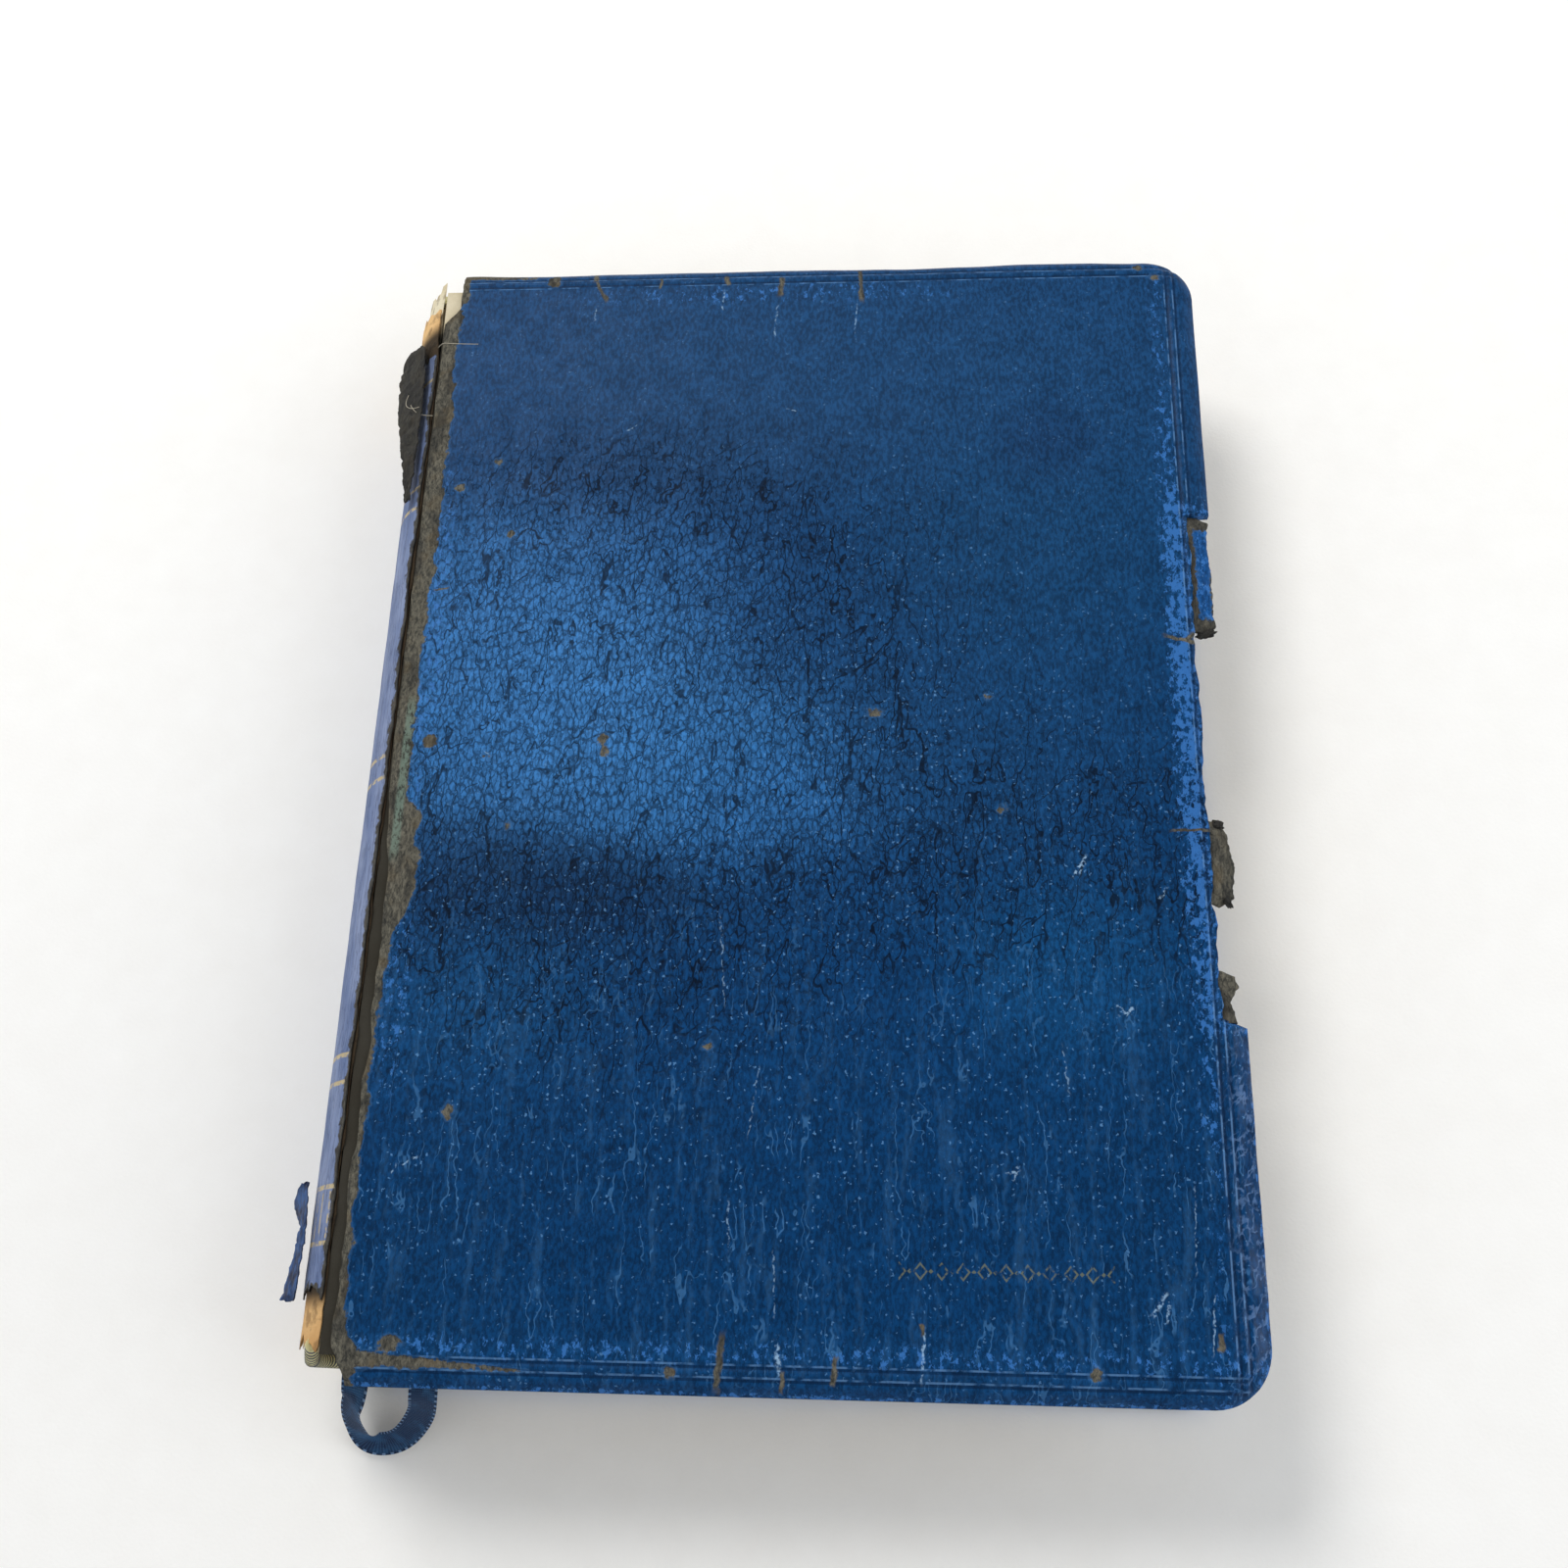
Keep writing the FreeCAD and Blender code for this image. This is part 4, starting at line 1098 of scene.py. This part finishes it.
def arc_layer(name, finish, slot, nodes, radius, thickness, turns, ends, ragged, seed, bulge=0.0):
    """One curved layer. turns and ends are its edges, and ragged says how uneven front, tail and head are."""
    (back, front), (tail, head) = turns, ends

    def edges(turn, y):
        front_here = front + ragged[0] * rough(0, y, seed, 7.0) + 0.5 * ragged[0] * rough(0, y, seed, 1.7)
        tail_here = tail + ragged[1] * rough(turn / 3, 0, seed + 1, 2.4)
        head_here = head + ragged[2] * rough(turn / 3, 0, seed + 2, 2.4)
        return front_here, tail_here, head_here

    def settle(turn, y):
        front_here, tail_here, head_here = edges(turn, y)
        share = (y - tail) / (head - tail)
        turn = back + (turn - back) * (front_here - back) / (front - back)
        return turn, tail_here + (head_here - tail_here) * share, front_here, tail_here, head_here

    def place(turn, y):
        turn, y, *_ = settle(turn, y)
        swell = 0.1 * rough(turn / 3, y, seed + 3, 9.0) + bulge * clamp((y - 84) / 8)
        return on_arc(radius + swell, turn, y)

    def marks(turn, y):
        turn, y, front_here, tail_here, head_here = settle(turn, y)
        inside = min((front_here - turn) * radius * pi / 180, y - tail_here, head_here - y)
        return {"inside": min(6.0, inside)}

    bm = sheet_grid(steps(back, front, 2.2), steps(tail, head, 1.4), place, marks)
    bm = thicken_evenly(bm, thickness)
    return bending(name, bm, finish, HALVES, BEND_FROM, BEND_TO, slot, *nodes)


# %% [markdown]
# The spine leather faced the light on a shelf, so it has faded from navy to a dusty lavender blue. Pairs
# of gilt rules cross it, and their gold is rubbed. Where it is torn, its fibre shows along the edge.

# %% Fade the spine leather
RULES = (22.0, 31.0, 48.5, 53.2, 104.0, 108.5, 160.5, 165.0, 190.0)  # up from the tail
PALLET_LOW, PALLET_HIGH = 22.5, 30.5  # a row of gilt strokes between the first two rules
FLESH = SPINE_OUT - 1.05  # nearer the spine's line than this is the leather's undyed inner side


def spine_finish():
    finish = Finish("faded_spine", Specular_IOR_Level=0.3)
    up = finish.axis(1) + HALF_LENGTH
    inside = finish.attribute("inside")
    mottle = finish.cloud(5.0, 4.0, finish.stretched((1.0, 0.3, 1.0)))
    color = finish.mix(finish.rise(mottle, 0.3, 0.7), ink(84, 104, 146), ink(128, 142, 176))
    darker = finish.rise(finish.cloud(12.0, 3.0), 0.5, 0.72)
    color = finish.mix(darker * 0.4, color, ink(40, 66, 114))
    creases = finish.cloud(0.9, 3.0, finish.stretched((1.0, 0.05, 1.0), finish.warped(0.6, 5.0)), 0.6)
    creased = 1 - finish.rise(abs(creases - 0.5), 0.0, 0.035)
    color = finish.mix(creased * 0.45, color, ink(36, 46, 78))
    gilt = 0.0
    for rule in RULES:
        near = 1 - finish.rise(abs(up + finish.shake(0.5, 6.0, 1.0) - rule), 0.28, 0.5)
        gilt = near.highest(gilt)
    pallet = finish.rise(finish.wave(finish.axis(2), 1.9), 0.78, 0.94)
    pallet = pallet * finish.rise(up, PALLET_LOW, PALLET_LOW + 0.4)
    pallet = pallet * (1 - finish.rise(up, PALLET_HIGH - 0.4, PALLET_HIGH))
    gilt = gilt.highest(pallet) * finish.rise(finish.cloud(1.2, 3.0), 0.36, 0.52)
    color = finish.mix(gilt * 0.85, color, ink(196, 176, 128))
    fibre, strands = fibre_color(finish)
    torn = 1 - finish.rise(inside + finish.shake(3.0, 1.6), 0.5, 1.0)
    outwards, upwards = finish.axis(0) - SPINE_X, finish.axis(2) - MIDDLE
    flesh_side = 1 - finish.rise(outwards * outwards + upwards * upwards, FLESH**2, (FLESH + 0.1) ** 2)
    torn = torn.highest(flesh_side)
    color = finish.mix(torn, color, finish.mix(0.45, fibre, ink(34, 36, 44)))
    return finish.paint(
        color=color,
        roughness=(0.55 + mottle * 0.12) * (1 - torn) + 0.93 * torn,
        height=mottle * 0.1 - creased * 0.06 - gilt * 0.05 + strands * torn * 0.3,
    )


arc_layer(
    "spine_cover", spine_finish(), "spine_leather", ["spine_leather"],
    SPINE_OUT - 0.6, 0.85, (-48.0, 51.5), (-94.0, 88.0), (1.5, 2.6, 3.0), 60,
)

# %% Line the spine


def paper_finish(name, light, dark, fibre_size=0.5, **constants):
    """Plain paper or board: soft blotches and fine fibres."""
    finish = Finish(name, Specular_IOR_Level=0.2, **constants)
    blotch, grain = finish.cloud(14.0, 4.0), finish.cloud(fibre_size, 3.0, None, 0.7)
    color = finish.mix(finish.rise(blotch, 0.32, 0.7), light, dark)
    color = finish.mix(finish.rise(grain, 0.4, 0.75) * 0.3, color, dark)
    return finish, color, grain


def joint_gap_shade(finish, from_x):
    """1 in the broken front joint, where the deep gap is painted dark as shade, but not at its head."""
    near = 1 - finish.rise(finish.axis(0) + finish.shake(1.2, 2.0, 2.0), from_x, from_x + 0.8)
    return near * finish.rise(finish.axis(2), 20.0, 24.5) * (1 - finish.rise(finish.axis(1), 92.0, 96.0))


def liner_finish(name, light, dark):
    """Spine paper: painted almost black near the broken joint, as shade deep in the gap."""
    finish, color, grain = paper_finish(name, light, dark)
    glued = finish.rise(finish.cloud(2.6, 4.0), 0.5, 0.66)
    color = finish.mix(glued * 0.5, color, ink(92, 66, 40))
    # painted shade: the paper in the broken joint's gap is darkened to near black
    gap_shade = joint_gap_shade(finish, JOINT + 1.0) * finish.rise(finish.axis(1), -97.5, -93.5)
    color = finish.mix(gap_shade * 0.94, color, ink(20, 20, 20))
    return finish.paint(color, 0.85 + grain * 0.1, grain * 0.12 + glued * 0.08)


kraft_liner = liner_finish("kraft_board", ink(226, 186, 130), ink(192, 146, 92))
white_liner = liner_finish("white_lining", ink(226, 218, 192), ink(196, 178, 138))
arc_layer(
    "kraft_liner", kraft_liner, "kraft_paper", ["spine_liner_card"],
    18.3, 0.55, (-48.0, 52.0), (-101.6, 98.6), (1.4, 2.2, 2.0), 70, 0.9,
)
arc_layer(
    "white_liner", white_liner, "card", ["spine_lining_paper"],
    17.815, 0.18, (-50.0, 50.0), (-101.6, 105.0), (1.2, 1.2, 1.8), 80, 0.4,
)

# %% [markdown]
# Two bits of the spine leather have come away at its ends. The one near the head is a dark strip that
# has curled up along both sides. The one near the tail is blue, crumpled and torn to a point. One tool
# makes both.

# %% Curl the loose end near the head


def loose_end(name, node, finish, slot, outline, seed):
    """A strip of spine leather that stands off the arc. Each row of outline is a place up the book, the
    strip's two edges as turns about the spine, and how far its outer edge has curled away."""
    low, high = outline[0][0], outline[-1][0]
    outer, inner, lifts = ([(row[0], row[column]) for row in outline] for column in (1, 2, 3))

    def place(share, y):
        first, last = table_value(outer, y), table_value(inner, y)
        turn = first + (last - first) * share + 1.2 * rough(share * 3, y, seed + 2, 1.8)
        curl = table_value(lifts, y) * (1 - share) ** 1.7
        curl += 0.3 * (1 + rough(share * 4, y, seed, 2.2)) + 0.12 * rough(share * 9, y, seed, 0.8)
        return on_arc(SPINE_OUT + 0.7 + curl, turn, y + 0.35 * rough(share * 4, y, seed + 5, 1.5))

    bm = sheet_grid(steps(0, 1, 0.045), steps(low, high, 0.45), place)
    return riding(name, thicken_evenly(bm, 0.6), finish, "front_half", slot, node)


loose_end(
    "head_curl", "spine_head_flap", dark_fibre, "worn_leather",
    [(54, 43, 48, 0.1), (62, 38, 48.5, 0.5), (70, 30, 48.5, 1.1), (78, 22, 48.5, 1.8), (86, 16, 47, 2.2),
     (90, 17, 44, 2.0), (91.6, 24, 38, 1.2)], 90,
)

# %% [markdown]
# Where the leather tore at the head, a few of its fibres were pulled out and stand up in the air. Each
# is a fine tube along a smooth line.

# %% Pull out the loose fibres
FIBRE_RADIUS = 0.07
FIBRES = [
    [(-77.6, 79.0, 26.2), (-76.4, 76.0, 28.6), (-74.0, 73.4, 29.4), (-71.0, 72.6, 30.6)],
    [(-77.8, 82.0, 25.6), (-78.2, 77.4, 28.0), (-76.0, 74.6, 29.6), (-73.8, 75.4, 29.8)],
    [(-73.0, 88.6, 28.0), (-71.6, 90.0, 30.6), (-68.0, 89.0, 31.4), (-63.4, 89.4, 30.6)],
]


def loose_fibre(name, route):
    points = smooth_line(name, route)

    def place(around, number):
        ahead = (points[min(number + 1, len(points) - 1)] - points[max(number - 1, 0)]).normalized()
        aside = ahead.cross(Vector((0, 0, 1))).normalized()
        return points[number] + (aside * cos(around) + aside.cross(ahead) * sin(around)) * FIBRE_RADIUS

    bm = close_tube(sheet_grid(steps(0, 2 * pi, pi / 3), list(range(len(points))), place))
    return riding(name, bm, pale_fibre, "front_half", "worn_leather", "spine_head_flap")


pale_fibre = Finish("pale_fibre", Roughness=0.8)
pale_fibre.paint(color=pale_fibre.mix(pale_fibre.cloud(1.0), ink(188, 180, 160), ink(140, 134, 120)))
for number, route in enumerate(FIBRES, start=1):
    loose_fibre(f"loose_fibre_{number}", route)

# %% Curl the loose end near the tail


def torn_blue_finish():
    finish = Finish("torn_blue", Specular_IOR_Level=0.3)
    mottle = finish.cloud(2.2, 4.0)
    color = finish.mix(finish.rise(mottle, 0.35, 0.65), ink(16, 30, 62), ink(50, 84, 134))
    return finish.paint(color, 0.5 + mottle * 0.3, mottle * 0.35)


loose_end(
    "tail_curl", "spine_tail_flap", torn_blue_finish(), "spine_leather",
    [(-95.0, 14, 22, 2.4), (-93.5, 10, 28, 2.2), (-88, 15, 32, 1.0), (-83, 20, 31, 0.5), (-81, 9, 30, 1.6),
     (-78.6, 7, 28, 2.6), (-76.8, 12, 26, 1.8), (-75.6, 19, 24, 0.8)], 95,
)

# %% [markdown]
# ## Head and tail bands
# Each end of the spine has a band: silk wound in two colours over a cord. A tube swept along an arc has
# its radius raised once per turn of silk, and the colours change with the same count. The front end of
# the tail band has come unglued, so it stands away from the pages.

# %% Wind the bands
BAND_RADIUS, BAND_CORD, WINDS, BAND_TURN = 16.1, 1.2, 25, 41
LOOSE_FROM, LOOSE_LIFT, LOOSE_SLIP = 18, 1.6, 2.2  # a turn, then how far the loose end lifts and slips


def band_finish():
    finish = Finish("wound_silk", Specular_IOR_Level=0.4, Sheen_Weight=0.2)
    wind = finish.attribute("wind")
    dark = finish.rise(abs(finish.fraction(wind + 0.5) - 0.5), 0.2, 0.28)
    strands = finish.wave(wind, 1 / 5)
    worn = finish.rise(finish.cloud(1.5, 3.0), 0.45, 0.7)
    pale = finish.mix(worn, ink(222, 214, 160), ink(186, 178, 120))
    color = finish.mix(dark, pale, ink(18, 22, 44))
    return finish.paint(color, 0.5 + worn * 0.25, strands * 0.03)


wound_silk = band_finish()


def wind_at(turn):
    """How many turns of silk there are up to a place on the band."""
    return (turn + BAND_TURN) / (2 * BAND_TURN) * WINDS


def add_band(node):
    low, high = box_mm(node)
    y = (low.y + high.y) / 2

    def place(around, turn):
        thick = BAND_CORD * (0.9 + 0.12 * abs(sin(pi * wind_at(turn))))
        loose = max(0.0, turn - LOOSE_FROM) / (BAND_TURN - LOOSE_FROM) if y < 0 else 0.0
        radius = BAND_RADIUS + LOOSE_LIFT * loose**2 + thick * cos(around)
        return on_arc(radius, turn, y + LOOSE_SLIP * loose**1.5 + thick * sin(around))

    def marks(around, turn):
        return {"wind": wind_at(turn)}

    turns = steps(-BAND_TURN, BAND_TURN, 2 * BAND_TURN / WINDS / 6)
    bm = close_tube(sheet_grid(steps(0, 2 * pi, pi / 7), turns, place, marks))
    bending(node + "_silk", bm, wound_silk, HALVES, BEND_FROM, BEND_TO, "band", node)


add_band("head_band")
add_band("tail_band")

# %% [markdown]
# ## Pages
# A section is a few sheets folded together once. Each sheet is one grid that runs along its lower leaf,
# round the fold and back along its upper leaf, so an opened or a closed book shows real leaf edges.
# Small seeded shifts keep the edges from lining up like a block that was cut by machine.

# %% Fold the sections
SHEETS, LEAF, PAGE_CORNER = 5, 0.11, 7.5
SHORTER, PRESSED = 0.0006, 0.98  # each inner sheet is shorter, and pressing flattens every fold
SIDE_SHARES = (0.12, 0.35, 0.6, 0.8, 0.9, 0.95, 0.975, 0.99, 1.0)
FOLD_SHARES, END_SHARES = (0.35, 0.7, 1.0), (0, 0.08, 0.2, 0.35, 0.6, 1.0)
shuffle = random.Random(11)


def browned_edges(finish, fore_edge, end, shaken, low, high):
    """1 at a leaf's three free edges and 0 where it is more than high millimetres inside them."""
    gap = (fore_edge - finish.axis(0)).lowest(end - abs(finish.axis(1)))
    return 1 - finish.rise(gap + shaken, low, high)


def page_finish():
    """Old book paper: cream, browner towards its edges, with faint foxing."""
    finish, color, grain = paper_finish("page_paper", ink(233, 224, 200), ink(222, 208, 176), 0.35)
    browned = browned_edges(finish, 74.0, 103.0, finish.shake(6, 8.0), -0.5, 7.0)
    color = finish.mix(browned * 0.45, color, ink(196, 166, 116))
    foxed = finish.rise(finish.cloud(1.6, 2.0), 0.72, 0.8) * finish.rise(finish.cloud(20.0, 2.0), 0.5, 0.7)
    color = finish.mix(foxed * 0.4, color, ink(168, 122, 74))
    return finish.paint(color, 0.82 + grain * 0.1, grain * 0.02)


page_paper = page_finish()


def add_sheets(name, node, body):
    low, high = box_mm(node)
    outer = (high.z - low.z) / 2
    pitch = outer / SHEETS
    middle, whole = (low.z + high.z) / 2, None
    for number in range(SHEETS):
        radius = outer - number * pitch
        shift, slide = shuffle.uniform(-0.3, 0.0), shuffle.uniform(-0.12, 0.12)
        reach = high.x - (low.x + outer) + shift
        wave = shuffle.uniform(0, 9)
        bend = pi * radius / 2

        def place(along, y):
            angle = clamp(along / radius, -pi / 2, pi / 2)
            x = low.x + outer - radius * cos(angle) + max(0.0, abs(along) - bend)
            x, y_kept = rounded(x, y * (1 - SHORTER * number) + slide, high.x + shift, high.y)
            lift = 0.012 * sin(x / 23 + wave) * sin(y / 31 + wave)
            return (x, y_kept, middle + radius * sin(angle) * PRESSED + lift)

        half = [bend * share for share in FOLD_SHARES] + [bend + reach * share for share in SIDE_SHARES]
        columns = [-part for part in reversed(half)] + [0.0] + half
        ends = [high.y - PAGE_CORNER * share for share in END_SHARES]
        inner = steps(-ends[-1], ends[-1], 16.0)
        rows = [-part for part in ends[:-1]] + inner + list(reversed(ends[:-1]))
        bm = thicken_evenly(sheet_grid(columns, rows, place), LEAF)
        piece = bpy.data.meshes.new("leaf")
        bm.to_mesh(piece)
        bm.free()
        if whole is None:
            whole = bmesh.new()
        whole.from_mesh(piece)
        bpy.data.meshes.remove(piece)
    riding(name, whole, page_paper, body, "page_paper", node)


for body in HALVES:
    for node in sorted(name for name in frame["record"]["behaviour"]["bodies"][body] if "section" in name):
        add_sheets(node.replace("section", "sheets"), node, body)

# %% [markdown]
# ## Paper that bends
# A book's covers are held on by paper and cloth that bend in the joints, and its halves by the fold of
# the middle section. These strips are narrow and folded when the book is shut, and each is blended
# between the two bodies that it joins, so that it opens with them and no gap shows.

# %% Paper the joints


def endpaper_finish():
    finish, color, grain = paper_finish("endpaper", ink(232, 222, 196), ink(214, 198, 162), 0.4)
    browned = browned_edges(finish, 72.0, 101.0, finish.shake(9, 9.0, 4.0), -1.0, 9.0)
    gutter = 1 - finish.rise(finish.axis(0) - JOINT + finish.shake(6, 6.0), 0.0, 9.0)
    color = finish.mix(browned.highest(gutter) * 0.5, color, ink(176, 138, 88))
    foxed = finish.rise(finish.cloud(1.4, 2.0), 0.68, 0.78) * finish.rise(finish.cloud(16.0, 2.0), 0.45, 0.65)
    color = finish.mix(foxed * 0.55, color, ink(156, 106, 60))
    # painted shade in the broken joint's gap
    color = finish.mix(joint_gap_shade(finish, JOINT - 0.1) * 0.9, color, ink(24, 23, 22))
    return finish.paint(color, 0.8 + grain * 0.12, grain * 0.03)


endpaper = endpaper_finish()


def folded_strip(name, finish, bodies, slot, start, end, fold_x, half, thickness):
    """A strip folded once between two edges, each (x, z) in millimetres, with its fold at fold_x."""

    def place(share, y):
        out = sin(pi * share) ** 0.6 if 0 < share < 1 else 0.0
        edge_x = start[0] + (end[0] - start[0]) * share
        z = start[1] + (end[1] - start[1]) * share
        return (edge_x + (fold_x - edge_x) * out, y, z)

    bm = sheet_grid(steps(0, 1, 1 / 14), steps(-half, half, 6.0), place)
    low, high = (start[0], 0, start[1]), (end[0], 0, end[1])
    return bending(name, thicken_evenly(bm, thickness), finish, bodies, low, high, slot)


STRIP = 0.05  # the strips' thickness
for end, half, outwards in (("front", "front_half", 1), ("back", "rear_half", -1)):
    leaf, paste = box_mm(end + "_flyleaf"), box_mm(end + "_pastedown")
    leaf_z, paste_z = (leaf[1].z, paste[0].z) if outwards > 0 else (leaf[0].z, paste[1].z)
    folded_strip(
        end + "_inner_hinge", endpaper, (half, end + "_cover"), "endpaper",
        (JOINT + 0.9, leaf_z - 0.02 * outwards), (JOINT + 0.9, paste_z + 0.06 * outwards),
        JOINT - 0.2, 98.0, STRIP,
    )
lower_low, lower_high = box_mm("section_09")
upper_low = box_mm("section_08")[0]
folded_strip(
    "gutter_fold", page_paper, HALVES, "page_paper",
    (lower_low.x + 0.7, lower_high.z + 0.06), (upper_low.x + 0.7, upper_low.z - 0.06),
    lower_low.x + 0.3, 102.0, STRIP,
)

# %% Cover the back joint


def back_joint_marks(share, y):
    return leather_marks(ink(40, 66, 112), 0.9 * rough(share * 3, y, 77, 4.0) - 0.5, 0.8, 0.4, 0.3)


def back_joint_place(share, y):
    """From the spine's back edge down and round into the back cover's joint edge."""
    angle = radians(-49.0 - 8.0 * share)
    x = SPINE_X - SPINE_OUT * cos(angle)
    x, z = x + (JOINT + 0.2 - x) * share, MIDDLE + SPINE_OUT * sin(angle)
    z = z + (0.05 - z) * share**0.5
    return (x, y + 0.3 * rough(share, y, 78, 3.0), max(0.03, z))


bm = sheet_grid(steps(0, 1, 0.1), steps(-97.0, 96.0, 1.6), back_joint_place, back_joint_marks)
start, end = back_joint_place(0, 0), back_joint_place(1, 0)
bending(
    "back_joint_leather", thicken_evenly(bm, -0.28), cover_leather, ("rear_half", "back_cover"), start, end,
    "spine_leather",
)

# %% [markdown]
# ## Solids that keep their shape
# Boards, turned-in leather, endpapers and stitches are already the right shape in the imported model, so
# only their finishes are new. The sewing tapes and the open cloth lie across the spine, where the book
# opens, so bent copies take their places. Cloth gets its weave from two sines at the pitch of real
# threads, which is simpler to set than a woven texture and reads the same.

# %% Finish the remaining solids


def woven_finish(name, pitch, thread, gap, openness):
    finish = Finish(name, Specular_IOR_Level=0.2)
    up, over = finish.wave(finish.axis(1), pitch), finish.wave(finish.axis(2), pitch)
    weave = finish.rise(up.highest(over), openness - 0.3, openness + 0.3)
    dirty = finish.rise(finish.cloud(6.0, 3.0), 0.4, 0.75)
    color = finish.mix(weave, gap, finish.mix(dirty * 0.4, thread, ink(150, 122, 84)))
    # painted shade in the broken joint's gap
    color = finish.mix(joint_gap_shade(finish, JOINT + 1.0) * 0.94, color, ink(20, 20, 20))
    return finish.paint(color, 0.8 + dirty * 0.1, weave * 0.12 + up * over * 0.05)


def turned_in_finish():
    """The part of the leather that is folded inside the cover: unfaded, smooth and a little scuffed."""
    finish = Finish("turned_in_leather", Specular_IOR_Level=0.3)
    mottle, grain = finish.cloud(6.0, 4.0), finish.cloud(0.6, 3.0, None, 0.65)
    color = finish.mix(finish.rise(mottle, 0.3, 0.7), ink(8, 44, 84), ink(18, 62, 108))
    color = finish.mix(finish.rise(grain, 0.62, 0.74) * 0.5, color, ink(70, 112, 158))
    return finish.paint(color, 0.5 + mottle * 0.2, grain * 0.05 + mottle * 0.1)


def board_finish():
    finish, color, grain = paper_finish("cover_board", ink(222, 212, 186), ink(190, 176, 144), 0.6)
    # painted shade in the broken joint's gap
    color = finish.mix(joint_gap_shade(finish, JOINT + 5.4) * 0.95, color, ink(18, 18, 18))
    return finish.paint(color, 0.88 + grain * 0.08, grain * 0.08)


turned_in, board = turned_in_finish(), board_finish()
open_cloth = woven_finish("open_cloth", 0.9, ink(206, 198, 172), ink(120, 92, 60), 0.45)
linen_tape = woven_finish("linen_tape", 0.5, ink(216, 208, 186), ink(176, 164, 138), 0.0)
linen_thread = woven_finish("linen_thread", 0.35, ink(226, 218, 198), ink(180, 168, 140), 0.0)
KEPT = {
    "card": board, "turn_in": turned_in, "pastedown": endpaper, "flyleaf": endpaper,
    "stitches": linen_thread,
}


def bent_copy(name, node, finish, slot):
    """A solid's mesh, cut at many heights so that it can bend between the two halves."""
    bm = bmesh.new()
    bm.from_mesh(frame["nodes"][node].data)
    bmesh.ops.remove_doubles(bm, verts=bm.verts[:], dist=1e-6)
    for height in steps(BEND_FROM[2], BEND_TO[2], 0.75):
        level = bm.verts[:] + bm.edges[:] + bm.faces[:]
        bmesh.ops.bisect_plane(bm, geom=level, plane_co=(0, 0, height * MM), plane_no=(0, 0, 1))
    bending(name, bm, finish, HALVES, BEND_FROM, BEND_TO, slot, node)


bent_copy("spine_cloth", "mull", open_cloth, "mull")
bent_copy("spine_tapes", "sewing_tapes", linen_tape, "tape")
for node, solid in frame["nodes"].items():
    for word, finish in KEPT.items():
        if word in node and not solid.hide_render:
            for holder in solid.material_slots:
                holder.material = finish.material
